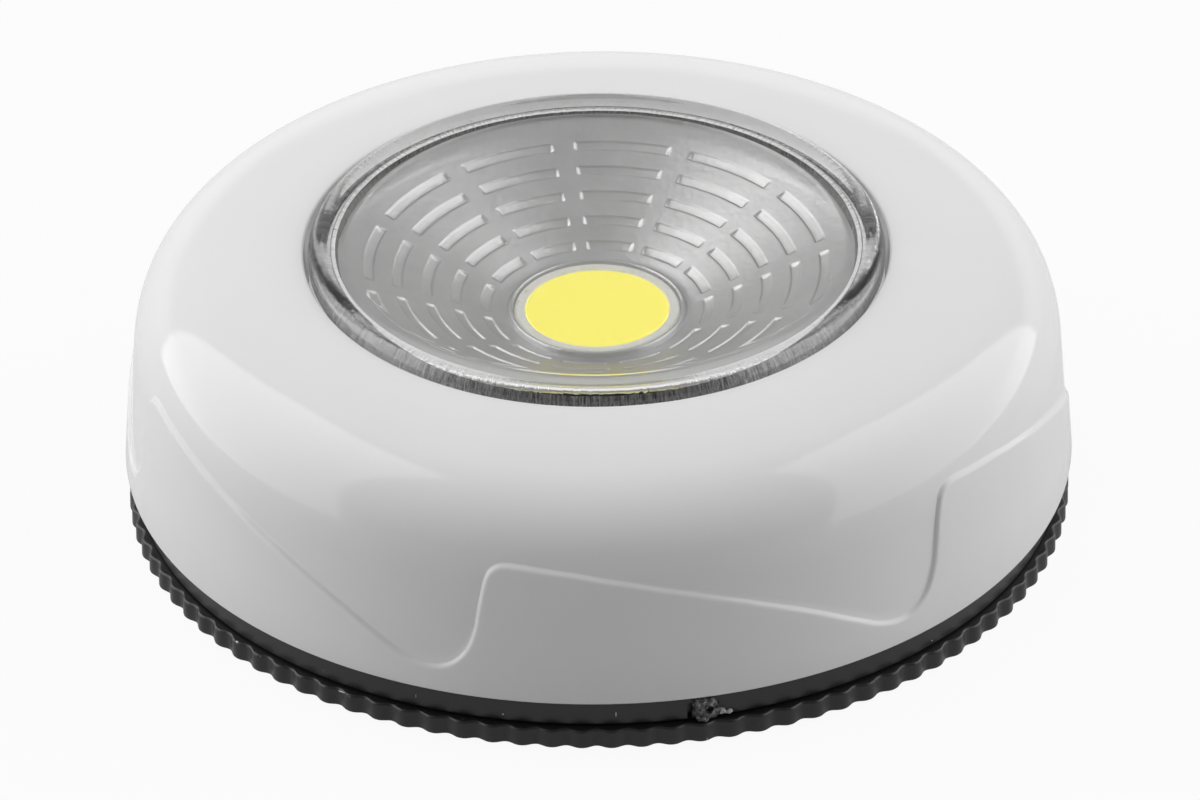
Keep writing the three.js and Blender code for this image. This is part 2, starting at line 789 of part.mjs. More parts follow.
// Reflector: a shallow cone with rings of pressed-in bars, a lip at the LED and a skirt at the rim
function reflector() {
  const skirtInner = reflectorRadius - reflectorSkirt;
  const lipTop = boardTop + reflectorLipRise;
  const lipRadius = reflectorHoleRadius + reflectorLipWidth;
  const ringFirst = lipRadius + barInnerMargin;
  const ringStep = (reflectorRadius - barOuterMargin - ringFirst) / (barRingCount - 1);
  const barShares = [[-0.5, 0], [-0.43, 1], [0.43, 1], [0.5, 0]];
  const azimuths = [];
  const depths = new Map();
  for (let bar = 0; bar < barsPerRing; bar += 1) {
    const middle = 180 + barStart + (360 * bar) / barsPerRing;
    for (const [share, depth] of barShares) {
      azimuths.push(middle + share * barTurn);
      depths.set(middle + share * barTurn, depth * barDepth);
    }
  }
  const outlineAt = (azimuth) => {
    const face = [];
    for (let ring = barRingCount - 1; ring >= 0; ring -= 1) {
      const middle = ringFirst + ringStep * ring;
      face.push([middle + barWidth / 2, reflectorFace(middle + barWidth / 2)]);
      face.push([middle, reflectorFace(middle) - depths.get(azimuth)]);
      face.push([middle - barWidth / 2, reflectorFace(middle - barWidth / 2)]);
    }
    return [
      [reflectorHoleRadius, boardTop],
      [reflectorSeat, boardTop],
      [skirtInner, reflectorFace(skirtInner) - reflectorDrop],
      [skirtInner, plateTop],
      [reflectorRadius, plateTop],
      [reflectorRadius, reflectorFace(reflectorRadius)],
      ...face,
      [lipRadius, reflectorFace(lipRadius)],
      [lipRadius, lipTop],
      [reflectorHoleRadius, lipTop],
    ];
  };
  const bowl = ringed(azimuths, outlineAt);
  const places = reflectorScrewPlaces();
  const edge = reflectorFace(reflectorRadius) - reflectorDrop / 2;
  const middleHeight = reflectorFace(0) - reflectorDrop / 2;
  const above = turned([
    [0, middleHeight],
    [reflectorRadius, edge],
    [reflectorRadius, lensWindowTop],
    [0, lensWindowTop],
  ], roundSides);
  const bosses = places.map(([x, y]) => {
    const boss = rod(reflectorBossRadius, plateTop, edge, x, y, smallSides);
    return carved(boss, [], [above]);
  });
  const boreTop = plateBottom + reflectorScrewLength + runningGap;
  const boreBottom = plateTop - cutOverrun;
  const bores = places.map(([x, y]) => rod(screwShankRadius, boreBottom, boreTop, x, y, smallSides));
  return carved(bowl, bosses, bores);
}

// Clear cap: a side wall, a rounded rim and a flat window inside it
const rimCornerShares = [0.3, 0.65];

function lens() {
  const wallInner = lensRadius - lensWall;
  const windowBottom = lensWindowTop - lensWindow;
  const rimOuter = lensRadius - lensRimEdge;
  const rimInner = rimOuter - lensRimLand;
  const shoulder = lensRimTop - lensRimDrop;
  return turned([
    [0, windowBottom],
    [wallInner - lensWall / 4, windowBottom],
    [wallInner, windowBottom - lensWall / 4],
    [wallInner, plateTop],
    [lensRadius, plateTop],
    [lensRadius, shoulder],
    [lensRadius - lensRimEdge * rimCornerShares[0], shoulder + lensRimDrop * rimCornerShares[1]],
    [rimOuter, lensRimTop],
    [rimInner, lensRimTop - lensRimRise * rimCornerShares[0]],
    [rimInner - lensRimFall, lensWindowTop],
    [0, lensWindowTop],
  ], roundSides);
}

function cobBoard() {
  return rod(boardRadius, boardBottom, boardTop, 0, 0, roundSides);
}

// Silicone ring that holds the phosphor in
function cobDam() {
  const [sideShare, roundShare] = [0.6, 0.3];
  const inner = damRadius - damWidth;
  return turned([
    [inner, boardTop],
    [damRadius, boardTop],
    [damRadius, boardTop + damHeight * sideShare],
    [damRadius - damWidth * roundShare, boardTop + damHeight],
    [inner + damWidth * roundShare, boardTop + damHeight],
    [inner, boardTop + damHeight * sideShare],
  ], roundSides / 2);
}

function cobPhosphor() {
  const radius = damRadius - damWidth - phosphorGap;
  return rod(radius, boardTop, boardTop + phosphorHeight, 0, 0, roundSides / 2);
}

function limitResistor() {
  const half = resistorLength / 2;
  const side = resistorWidth / 2;
  return block([-half, -side, boardBottom - resistorHeight], [half, side, boardBottom]);
}

// Leads: from the plus contact to the switch, from the switch to the LED, from the LED to the minus contact
const leadEndGap = runningGap + leadRadius;
const leadTagX = switchReach + switchSide / 2 + switchTagThickness / 2;
const leadTagY = switchTagReach + switchTagWidth / 2 + runningGap;
const leadTagTurn = Math.atan2(leadTagY + leadRadius, leadTagX) / degree + leadTagClearTurn;

// Points of a lead on the chassis roof between two turns in degrees from +X
function roofRun(from, to) {
  const count = Math.ceil(Math.abs(to - from) / leadRoofTurn);
  const points = [];
  for (let i = 0; i <= count; i += 1) {
    const turn = (from + ((to - from) * i) / count) * degree;
    points.push([leadRun * Math.cos(turn), leadRun * Math.sin(turn), leadHeight]);
  }
  return points;
}

// Points of a lead from the roof down its hole and along the valley between two cells
function valleyRun(side) {
  const x = side * leadValleyX;
  return [
    [x, -leadHoleReach, chassisTop],
    [x, -leadHoleReach, bayTop],
    [x, -leadHoleReach + leadRise * 4, leadValley],
    [x, -leadJoinReach - leadRadius, leadValley],
  ];
}

function batteryLead() {
  return lead([
    [contactTagPlace, contactFace - runningGap, leadHeight],
    ...roofRun(batteryLeadTurn, leadTagTurn),
    [leadTagX, leadTagY, leadHeight],
  ]);
}

function switchLead() {
  return lead([
    [leadTagX, -leadTagY, leadHeight],
    ...roofRun(-leadTagTurn, switchLeadTurn),
    ...valleyRun(1),
  ]);
}

function returnLead() {
  return lead([
    [-contactTagPlace, -contactFace + runningGap, leadHeight],
    [-contactTagPlace + leadEndGap, -contactFace + leadEndGap * 2, leadHeight],
    [-leadValleyX - returnLeadBend, -leadHoleReach, leadHeight],
    ...valleyRun(-1),
  ]);
}

// The loose end of an LED lead, which gives way as the head goes down
function leadTail(side) {
  const x = side * leadValleyX;
  const padX = side * (hubLedgeRadius - leadPadInset);
  const low = leadValley - leadRadius;
  return lead([
    [x, -leadJoinReach + leadRadius, leadValley],
    [x, -(leadJoinReach + leadPadReach) / 2, low],
    [padX, -leadPadReach - leadRadius * 2, leadValley + leadRadius],
    [padX, -leadPadReach, boardBottom - runningGap],
  ]);
}

// Colours and surfaces
const finish = (color, roughness, metalness, extra) => {
  return new THREE.MeshStandardMaterial({ color, roughness, metalness, ...extra });
};
const whiteShell = finish(0xe2e2e1, 0.35, 0);
const blackPlastic = finish(0x2b2b2e, 0.5, 0);
const foam = finish(0xd9d9d2, 0.9, 0);
const clear = finish(0xf4f6f7, 0.05, 0, { transparent: true, opacity: 0.35 });
const silvered = finish(0xb9babc, 0.25, 1);
const whiteBoard = finish(0xdadcdb, 0.5, 0);
const silicone = finish(0xd2d4d2, 0.4, 0);
const phosphor = finish(0xf3ee74, 0.6, 0);
const greyPlastic = finish(0xc9cac8, 0.5, 0);
const nickel = finish(0xb8b4aa, 0.3, 1);
const steel = finish(0x9a9c9e, 0.35, 1);
const jacket = finish(0x3a5f7d, 0.4, 0);
const switchBlack = finish(0x24272c, 0.5, 0);
const ceramic = finish(0x22242a, 0.4, 0);
const redWire = finish(0xb3252b, 0.5, 0);
const blackWire = finish(0x26262a, 0.5, 0);

const light = new THREE.Group();

function place(name, geometry, material, parent = light) {
  const mesh = new THREE.Mesh(geometry, material);
  mesh.name = name;
  parent.add(mesh);
  return mesh;
}

// Base that stays on the wall
const base = new THREE.Group();
light.add(base);
place("adhesive_pad", adhesivePad(), foam, base);
place("battery_cover", batteryCover(), blackPlastic, base);

// Housing that twists off the base
const housing = new THREE.Group();
light.add(housing);
place("housing_shell", housingShell(), whiteShell, housing);
place("battery_chassis", batteryChassis(), blackPlastic, housing);

const cellPlaces = [["left", -1, 1], ["middle", 0, -1], ["right", 1, 1]];
for (const [side, column, buttonEnd] of cellPlaces) {
  const mesh = place(`cell_${side}`, cell(), jacket, housing);
  mesh.rotation.z = buttonEnd > 0 ? 0 : Math.PI;
  mesh.position.set(column * cellPitch, buttonEnd * (contactFace - cellLength), cellAxis);
  const springName = `cell_spring_${side}`;
  place(springName, cellSpring(springName, column * cellPitch, -buttonEnd), steel, housing);
}
const halfContact = contactWidth / 2;
const [contactNear, contactFar] = [cellPitch - halfContact, cellPitch + halfContact];
place("contact_plus", contactPlate(contactNear, contactFar, 1, contactTagPlace), nickel, housing);
place("contact_minus", contactPlate(-contactFar, -contactNear, -1, -contactTagPlace), nickel, housing);
place("contact_bridge_back", contactPlate(-contactFar, halfContact, 1), nickel, housing);
place("contact_bridge_front", contactPlate(-halfContact, contactFar, -1), nickel, housing);

bossPlaces.forEach(([x, y], i) => {
  const body = screw(screwHeadRadius, screwHeadHeight, screwShankRadius, screwLength);
  place(`chassis_screw_${i + 1}`, body, steel, housing).position.set(x, y, screwHeadBottom);
});
place("switch_case", switchCase(), switchBlack, housing);
place("switch_tag_in", switchTag(1), nickel, housing);
place("switch_tag_out", switchTag(-1), nickel, housing);
place("lead_battery", batteryLead(), redWire, housing);
place("lead_switch", switchLead(), redWire, housing);
place("lead_return", returnLead(), blackWire, housing);
place("lead_tail_plus", leadTail(1), redWire, housing);
place("lead_tail_minus", leadTail(-1), blackWire, housing);
postPlaces.forEach(([x, y], i) => {
  const seat = returnSpringWire + runningGap / 2;
  const length = plateBottom - springFloor - seat * 2;
  const name = `return_spring_${i + 1}`;
  const radius = returnSpringRadius;
  const spring = coil(name, radius, radius, length, returnSpringTurns, returnSpringWire);
  place(name, spring, steel, housing).position.set(x, y, springFloor + seat);
});

// Push head
const head = new THREE.Group();
light.add(head);
place("lens", lens(), clear, head);
place("reflector", reflector(), silvered, head);
place("cob_board", cobBoard(), whiteBoard, head);
place("cob_dam", cobDam(), silicone, head);
place("cob_phosphor", cobPhosphor(), phosphor, head);
place("limit_resistor", limitResistor(), ceramic, head);
place("head_carrier", headCarrier(), greyPlastic, head);
reflectorScrewPlaces().forEach(([x, y], i) => {
  const shank = screwShankRadius - runningGap;
  const body = screw(reflectorScrewRadius, reflectorScrewHead, shank, reflectorScrewLength);
  place(`reflector_screw_${i + 1}`, body, steel, head).position.set(x, y, plateBottom - reflectorScrewHead);
});

place("switch_plunger", switchPlunger(), greyPlastic);

export default light;
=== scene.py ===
"""A round stick-on puck light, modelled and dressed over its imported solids."""

import logging
import math
from collections.abc import Iterator, Sequence
from contextlib import contextmanager
from dataclasses import dataclass, field
from enum import Enum
from typing import NamedTuple

import bmesh
import bpy
import numpy as np
from bpy.types import Material, NodeTree, Node, NodeSocket, Object
from mathutils import Matrix, Vector


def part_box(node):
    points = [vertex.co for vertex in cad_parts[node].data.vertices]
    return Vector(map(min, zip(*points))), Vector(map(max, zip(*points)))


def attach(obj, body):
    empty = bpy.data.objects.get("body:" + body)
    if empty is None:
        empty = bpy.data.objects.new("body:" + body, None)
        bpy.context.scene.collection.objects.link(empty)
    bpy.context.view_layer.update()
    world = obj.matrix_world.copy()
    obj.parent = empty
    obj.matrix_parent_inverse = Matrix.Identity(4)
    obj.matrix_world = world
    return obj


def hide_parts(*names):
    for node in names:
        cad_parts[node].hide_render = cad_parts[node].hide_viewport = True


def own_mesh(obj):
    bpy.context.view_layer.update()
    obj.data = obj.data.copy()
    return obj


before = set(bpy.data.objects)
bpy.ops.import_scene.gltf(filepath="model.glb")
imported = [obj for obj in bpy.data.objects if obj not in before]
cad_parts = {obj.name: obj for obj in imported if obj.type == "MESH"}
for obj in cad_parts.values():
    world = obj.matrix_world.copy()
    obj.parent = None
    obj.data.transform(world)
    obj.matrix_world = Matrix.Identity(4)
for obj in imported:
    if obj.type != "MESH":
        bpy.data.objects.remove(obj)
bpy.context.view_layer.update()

MM = 0.001
FULL_TURN = 360.0
WELD = 1e-7

Point = tuple[float, float]
Outline = Sequence[Point]
Colour = tuple[float, float, float, float]

logging.basicConfig(level=logging.INFO, format="%(name)s: %(message)s")
log = logging.getLogger("puck_light")


class Body(Enum):
    """The moving pieces of the light that carry new pieces."""

    BASE = "base"
    HOUSING = "housing"
    HEAD = "light_head"


class Slot(Enum):
    """The record's material slots."""

    WHITE_SHELL = "white_shell"
    BLACK_PLASTIC = "black_plastic"
    FOAM = "foam"
    CLEAR_LENS = "clear_lens"
    SILVERED = "silvered"
    SILICONE = "silicone"
    PHOSPHOR = "phosphor"
    STEEL = "steel"
    WIRE_RED = "wire_red"
    WIRE_BLACK = "wire_black"


class Side(Enum):
    """Which way along an axis something lies."""

    MINUS = -1
    PLUS = 1


# ---------------------------------------------------------------- modelling


def deselect_all() -> None:
    """Leaves object mode on and nothing selected."""
    if bpy.context.object is not None and bpy.context.object.mode != "OBJECT":
        bpy.ops.object.mode_set(mode="OBJECT")
    bpy.ops.object.select_all(action="DESELECT")


def only(piece: Object) -> None:
    """Selects one piece alone and makes it active."""
    deselect_all()
    piece.select_set(True)
    bpy.context.view_layer.objects.active = piece


@contextmanager
def editing(piece: Object, parts: str = "VERT") -> Iterator[None]:
    """Edit mode on one piece, which starts with nothing selected.

    Args:
        piece: The mesh to edit.
        parts: VERT, EDGE or FACE, which kind of part is selected.
    """
    only(piece)
    bpy.ops.object.mode_set(mode="EDIT")
    bpy.ops.mesh.select_mode(type=parts)
    bpy.ops.mesh.select_all(action="DESELECT")
    yield
    bpy.ops.object.mode_set(mode="OBJECT")


def settle(piece: Object) -> None:
    """Moves a piece's place, turn and size into its mesh."""
    only(piece)
    bpy.ops.object.transform_apply(location=True, rotation=True, scale=True)


def turned(name: str, outline: Outline, steps: int, turn: float = FULL_TURN, start: float = 0.0) -> Object:
    """Spins an outline about the upright axis into a closed body.

    Args:
        name: The new piece's name.
        outline: Radii and heights in millimetres. It starts and ends on the axis, or closes on itself.
        steps: How many steps the turn has.
        turn: How far it turns, in degrees.
        start: Where it starts, 0 facing -Y and rising towards +X. A part turn runs back from there.

    Returns:
        The new piece, its place in its mesh.
    """
    points = list(outline)
    if points[0][0] > 0:
        points.append(points[0])
    deselect_all()
    bpy.ops.mesh.primitive_plane_add(size=MM, location=(0, 0, 0))
    piece = bpy.context.object
    piece.name = piece.data.name = name
    with editing(piece):
        bpy.ops.mesh.select_all(action="SELECT")
        bpy.ops.mesh.merge(type="CENTER")
        bpy.ops.transform.translate(value=(0, -points[0][0] * MM, points[0][1] * MM))
        for (radius, height), (next_radius, next_height) in zip(points, points[1:]):
            step = (0, (radius - next_radius) * MM, (next_height - height) * MM)
            bpy.ops.mesh.extrude_vertices_move(TRANSFORM_OT_translate={"value": step})
        bpy.ops.mesh.select_all(action="SELECT")
        bpy.ops.mesh.remove_doubles(threshold=WELD)
        if turn < FULL_TURN:
            bpy.ops.mesh.select_all(action="SELECT")
            bpy.ops.mesh.edge_face_add()
        bpy.ops.mesh.select_all(action="SELECT")
        bpy.ops.mesh.spin(steps=steps, angle=math.radians(turn), center=(0, 0, 0), axis=(0, 0, 1))
        bpy.ops.mesh.select_all(action="SELECT")
        bpy.ops.mesh.remove_doubles(threshold=WELD)
        bpy.ops.mesh.normals_make_consistent(inside=False)
    piece.rotation_euler.z = math.radians(start)
    settle(piece)
    return piece


def grid_places(piece: Object, outline: Outline, steps: int) -> tuple[np.ndarray, np.ndarray]:
    """Finds the step of the turn and the point of the outline that each vertex of a turned piece came from.

    Args:
        piece: A piece made by turned, still in its first shape.
        outline: The outline that it was turned from.
        steps: The steps of its turn.

    Returns:
        The step and the outline point of each vertex.
    """
    places = np.zeros(len(piece.data.vertices) * 3)
    piece.data.vertices.foreach_get("co", places)
    places = places.reshape(-1, 3) / MM
    radii = np.hypot(places[:, 0], places[:, 1])
    azimuths = np.degrees(np.arctan2(places[:, 0], -places[:, 1])) % FULL_TURN
    columns = np.rint(azimuths / FULL_TURN * steps).astype(int) % steps
    points = np.array(outline)
    away = np.hypot(radii[:, None] - points[None, :, 0], places[:, 2][:, None] - points[None, :, 1])
    return columns, away.argmin(axis=1)


def move_to(piece: Object, radii: np.ndarray, azimuths: np.ndarray, heights: np.ndarray) -> None:
    """Gives each vertex a new place, in millimetres and degrees of azimuth."""
    turns = np.radians(azimuths)
    places = np.stack([radii * np.sin(turns), -radii * np.cos(turns), heights], axis=1) * MM
    piece.data.vertices.foreach_set("co", places.ravel())
    piece.data.update()


def apply_modifier(piece: Object, kind: str, **settings: object) -> None:
    """Adds a modifier with its settings and applies it at once."""
    only(piece)
    modifier = piece.modifiers.new(kind.lower(), kind)
    for name, value in settings.items():
        setattr(modifier, name, value)
    bpy.ops.object.modifier_apply(modifier=modifier.name)


def combine(piece: Object, others: Sequence[Object], operation: str) -> None:
    """Joins closed bodies to a closed piece or cuts them out of it.

    Args:
        piece: The piece that is kept.
        others: The bodies that are joined on or cut away, which are used up.
        operation: UNION or DIFFERENCE.
    """
    for other in others:
        apply_modifier(piece, "BOOLEAN", operation=operation, object=other, solver="MANIFOLD")
        bpy.data.meshes.remove(other.data)


def box(low: Sequence[float], high: Sequence[float]) -> Object:
    """A cutting box between two corners, in millimetres."""
    middle = [(a + b) / 2 * MM for a, b in zip(low, high)]
    size = [(b - a) * MM for a, b in zip(low, high)]
    deselect_all()
    bpy.ops.mesh.primitive_cube_add(size=1, location=middle, scale=size)
    settle(bpy.context.object)
    return bpy.context.object


def rod(radius: float, bottom: float, top: float, place: Sequence[float], sides: int = 48) -> Object:
    """An upright round body between two heights, in millimetres."""
    deselect_all()
    middle, depth = (place[0] * MM, place[1] * MM, (bottom + top) / 2 * MM), (top - bottom) * MM
    bpy.ops.mesh.primitive_cylinder_add(vertices=sides, radius=radius * MM, depth=depth, location=middle)
    settle(bpy.context.object)
    return bpy.context.object


def ring_piece(inner: float, outer: float, bottom: float, top: float, start: float, end: float) -> Object:
    """A piece of a ring between two radii, two heights and two azimuths."""
    outline = [(inner, bottom), (outer, bottom), (outer, top), (inner, top)]
    return turned("ring_piece", outline, 12, end - start, end)


class Bit(NamedTuple):
    """A small bit of plastic on the rim, in millimetres and degrees."""

    azimuth: float
    height: float
    width: float
    tallness: float
    proud: float
    radius: float = 33.3
    rough: float = 0.0
    seed: float = 0.0


def bead(bit: Bit) -> Object:
    """A small rounded body on the rim, half of it in the rim's face."""
    deselect_all()
    size = (bit.width / 2 * MM, bit.proud * MM, bit.tallness / 2 * MM)
    middle = (0, -bit.radius * MM, bit.height * MM)
    bpy.ops.mesh.primitive_uv_sphere_add(segments=20, ring_count=10, radius=1, location=middle, scale=size)
    settle(bpy.context.object)
    bpy.context.object.rotation_euler.z = math.radians(bit.azimuth)
    settle(bpy.context.object)
    return bpy.context.object


def four_places(reach: float, angle: float) -> list[Point]:
    """Four places mirrored about both axes, at a reach and an angle in degrees from +X."""
    turns = [math.radians(turn) for turn in (angle, 180 - angle, 180 + angle, 360 - angle)]
    return [(reach * math.cos(turn), reach * math.sin(turn)) for turn in turns]


def corner(middle: Point, radius: float, start: float, end: float, count: int) -> list[Point]:
    """Points of a round corner in an outline.

    Args:
        middle: The radius and height that the corner turns about.
        radius: The corner's own radius.
        start: The angle at which it starts, in degrees, 0 pointing outwards and 90 up.
        end: The angle at which it ends.
        count: How many points it has.

    Returns:
        The points, in radius and height.
    """
    turns = np.radians(np.linspace(start, end, count))
    return [(middle[0] + radius * math.cos(t), middle[1] + radius * math.sin(t)) for t in turns]


def ease(room: np.ndarray, wall: float) -> np.ndarray:
    """A soft step from 0 to 1 over a wall's width."""
    share = np.clip(room / wall, 0, 1)
    return share**2 * (3 - 2 * share)


def combined(name: str, pieces: Sequence[Object]) -> Object:
    """One piece with a name of its own, joined from several closed bodies."""
    first, *others = pieces
    combine(first, others, "UNION")
    first.name = first.data.name = name
    return first


def wire(name: str, points: Sequence[Sequence[float]], radius: float, sides: int = 12) -> Object:
    """A round wire that follows a smooth line through a row of points.

    Args:
        name: The new piece's name.
        points: The places that its centre goes through, in millimetres.
        radius: The wire's radius in millimetres.
        sides: How many sides it has.

    Returns:
        The wire as a closed mesh.
    """
    deselect_all()
    bpy.ops.curve.primitive_bezier_curve_add(location=(0, 0, 0))
    piece = bpy.context.object
    piece.name = piece.data.name = name
    curve = piece.data
    curve.splines.clear()
    spline = curve.splines.new("BEZIER")
    spline.bezier_points.add(len(points) - 1)
    for knot, point in zip(spline.bezier_points, points):
        knot.co = [value * MM for value in point]
        knot.handle_left_type = knot.handle_right_type = "AUTO"
    curve.dimensions = "3D"
    curve.bevel_depth = radius * MM
    curve.bevel_resolution = sides // 4
    curve.resolution_u = 6
    curve.use_fill_caps = True
    only(piece)
    bpy.ops.object.convert(target="MESH")
    piece = bpy.context.object
    with editing(piece):
        bpy.ops.mesh.select_all(action="SELECT")
        bpy.ops.mesh.remove_doubles(threshold=WELD)
        bpy.ops.mesh.normals_make_consistent(inside=False)
    return piece


# ---------------------------------------------------------------- finishes


def linear(code: str) -> Colour:
    """The linear colour, with full cover, of an sRGB hex code."""
    shares = [int(code[i : i + 2], 16) / 255 for i in (1, 3, 5)]
    plain = [s / 12.92 if s <= 0.04045 else ((s + 0.055) / 1.055) ** 2.4 for s in shares]
    return (*plain, 1.0)


def add_node(
    tree: NodeTree,
    kind: str,
    settings: dict[str, object] | None = None,
    values: dict[str | int, object] | None = None,
    links: dict[str | int, NodeSocket] | None = None,
) -> Node:
    """Adds one node.

    Args:
        tree: The node tree that it goes into.
        kind: Its type.
        settings: Its own settings by name.
        values: What its free inputs hold, by name or place.
        links: The sockets that feed its other inputs, by name or place.

    Returns:
        The node.
    """
    node = tree.nodes.new(kind)
    for name, value in (settings or {}).items():
        setattr(node, name, value)
    for name, value in (values or {}).items():
        node.inputs[name].default_value = value
    for name, socket in (links or {}).items():
        tree.links.new(socket, node.inputs[name])
    return node


@dataclass(frozen=True)
class Finish:
    """A material and how its surface was made."""

    name: str

    def build(self, tree: NodeTree, shader: Node, place: NodeSocket) -> None:
        """Sets up the finish's own nodes; each kind of finish has its own.

        Args:
            tree: The material's node tree.
            shader: Its Principled BSDF.
            place: Object coordinates, in metres.
        """
        raise NotImplementedError

    def material(self) -> Material:
        """The finish's material, made the first time that it is asked for."""
        made = bpy.data.materials.get(self.name)
        if made is not None:
            return made
        made = bpy.data.materials.new(self.name)
        made.use_nodes = True
        tree = made.node_tree
        tree.nodes.clear()
        shader = add_node(tree, "ShaderNodeBsdfPrincipled")
        add_node(tree, "ShaderNodeOutputMaterial", links={"Surface": shader.outputs[0]})
        self.build(tree, shader, add_node(tree, "ShaderNodeTexCoord").outputs["Object"])
        return made

    def on(self, piece: Object) -> None:
        """Gives a piece this finish all over."""
        if not piece.material_slots:
            piece.data.materials.append(None)
        for slot in piece.material_slots:
            slot.material = self.material()


@dataclass(frozen=True)
class MouldedPlastic(Finish):
    """Injection-moulded plastic: a skin with the mould's fine grain, slight unevenness and a few specks of dust."""

    colour: str
    roughness: float
    grain: float
    grain_depth: float
    wave: float = 0.0
    wave_depth: float = 0.0
    speck: str = "#808080"
    speck_share: float = 0.0
    speck_pitch: float = 1.6
    tone: float = 0.02
    specular: float = 0.5

    def build(self, tree: NodeTree, shader: Node, place: NodeSocket) -> None:
        """Colour with faint cloudiness and specks, and two layers of bump."""
        shader.inputs["Specular IOR Level"].default_value = self.specular
        base = linear(self.colour)
        clouds = add_node(tree, "ShaderNodeTexNoise", values={"Scale": 1 / (9 * MM), "Detail": 3.0}, links={"Vector": place})
        tone = add_node(
            tree, "ShaderNodeMapRange",
            values={"From Min": 0.3, "From Max": 0.7, "To Min": 1 - self.tone, "To Max": 1 + self.tone},
            links={"Value": clouds.outputs["Fac"]},
        )
        tinted = add_node(
            tree, "ShaderNodeVectorMath", {"operation": "SCALE"}, {0: base[:3]}, {"Scale": tone.outputs["Result"]},
        )
        colour = tinted.outputs[0]
        if self.speck_share > 0:
            # Dust and short fibres: one dot in some cells of a pattern, 0.05 to 0.12 mm across
            dots = add_node(
                tree, "ShaderNodeTexVoronoi", {"feature": "F1"}, {"Scale": 1 / (self.speck_pitch * MM)}, {"Vector": place},
            )
            near = add_node(
                tree, "ShaderNodeMath", {"operation": "LESS_THAN"}, {1: 0.045}, {0: dots.outputs["Distance"]},
            )
            pick = add_node(tree, "ShaderNodeSeparateColor", links={0: dots.outputs["Color"]})
            some = add_node(
                tree, "ShaderNodeMath", {"operation": "LESS_THAN"}, {1: self.speck_share}, {0: pick.outputs[0]},
            )
            both = add_node(
                tree, "ShaderNodeMath", {"operation": "MULTIPLY"}, None, {0: near.outputs[0], 1: some.outputs[0]},
            )
            mixed = add_node(
                tree, "ShaderNodeMix", {"data_type": "RGBA"}, {7: linear(self.speck)}, {0: both.outputs[0], 6: colour},
            )
            colour = mixed.outputs[2]
        tree.links.new(colour, shader.inputs["Base Color"])
        shader.inputs["Roughness"].default_value = self.roughness
        fine = add_node(
            tree, "ShaderNodeTexNoise", values={"Scale": 1 / (self.grain * MM), "Detail": 2.0}, links={"Vector": place},
        )
        bump = add_node(
            tree, "ShaderNodeBump", values={"Distance": self.grain_depth * MM}, links={"Height": fine.outputs["Fac"]},
        )
        if self.wave > 0:
            slow = add_node(
                tree, "ShaderNodeTexNoise", values={"Scale": 1 / (self.wave * MM), "Detail": 1.0}, links={"Vector": place},
            )
            bump = add_node(
                tree, "ShaderNodeBump", values={"Distance": self.wave_depth * MM},
                links={"Height": slow.outputs["Fac"], "Normal": bump.outputs[0]},
            )
        tree.links.new(bump.outputs[0], shader.inputs["Normal"])


@dataclass(frozen=True)
class TornPlastic(Finish):
    """Black plastic where it was torn: rough, with grey veins and specks whitened by the strain."""

    colour: str
    vein: str
    vein_size: float

    def build(self, tree: NodeTree, shader: Node, place: NodeSocket) -> None:
        """Veins from a fine noise, in colour and in bump."""
        noise = add_node(
            tree, "ShaderNodeTexNoise", values={"Scale": 1 / (self.vein_size * MM), "Detail": 4.0, "Roughness": 0.65},
            links={"Vector": place},
        )
        ramp = add_node(tree, "ShaderNodeValToRGB", links={0: noise.outputs["Fac"]})
        ramp.color_ramp.elements[0].color = linear(self.colour)
        ramp.color_ramp.elements[0].position = 0.47
        ramp.color_ramp.elements[1].color = linear(self.vein)
        ramp.color_ramp.elements[1].position = 0.68
        tree.links.new(ramp.outputs[0], shader.inputs["Base Color"])
        shader.inputs["Roughness"].default_value = 0.34
        bump = add_node(tree, "ShaderNodeBump", values={"Distance": 0.05 * MM}, links={"Height": noise.outputs["Fac"]})
        tree.links.new(bump.outputs[0], shader.inputs["Normal"])


@dataclass(frozen=True)
class FoamTape(Finish):
    """Closed-cell polyethylene foam: pale, quite dull, with cells about a third of a millimetre across."""

    colour: str
    cell: float

    def build(self, tree: NodeTree, shader: Node, place: NodeSocket) -> None:
        """Dark cell walls in colour and in bump."""
        cells = add_node(tree, "ShaderNodeTexVoronoi", {"feature": "DISTANCE_TO_EDGE"}, {"Scale": 1 / (self.cell * MM)}, {"Vector": place})
        ramp = add_node(tree, "ShaderNodeValToRGB", links={0: cells.outputs["Distance"]})
        ramp.color_ramp.elements[0].color = linear("#A9A9A2")
        ramp.color_ramp.elements[1].color = linear(self.colour)
        ramp.color_ramp.elements[1].position = 0.25
        tree.links.new(ramp.outputs[0], shader.inputs["Base Color"])
        shader.inputs["Roughness"].default_value = 0.9
        bump = add_node(tree, "ShaderNodeBump", values={"Distance": 0.08 * MM}, links={"Height": cells.outputs["Distance"]})
        tree.links.new(bump.outputs[0], shader.inputs["Normal"])


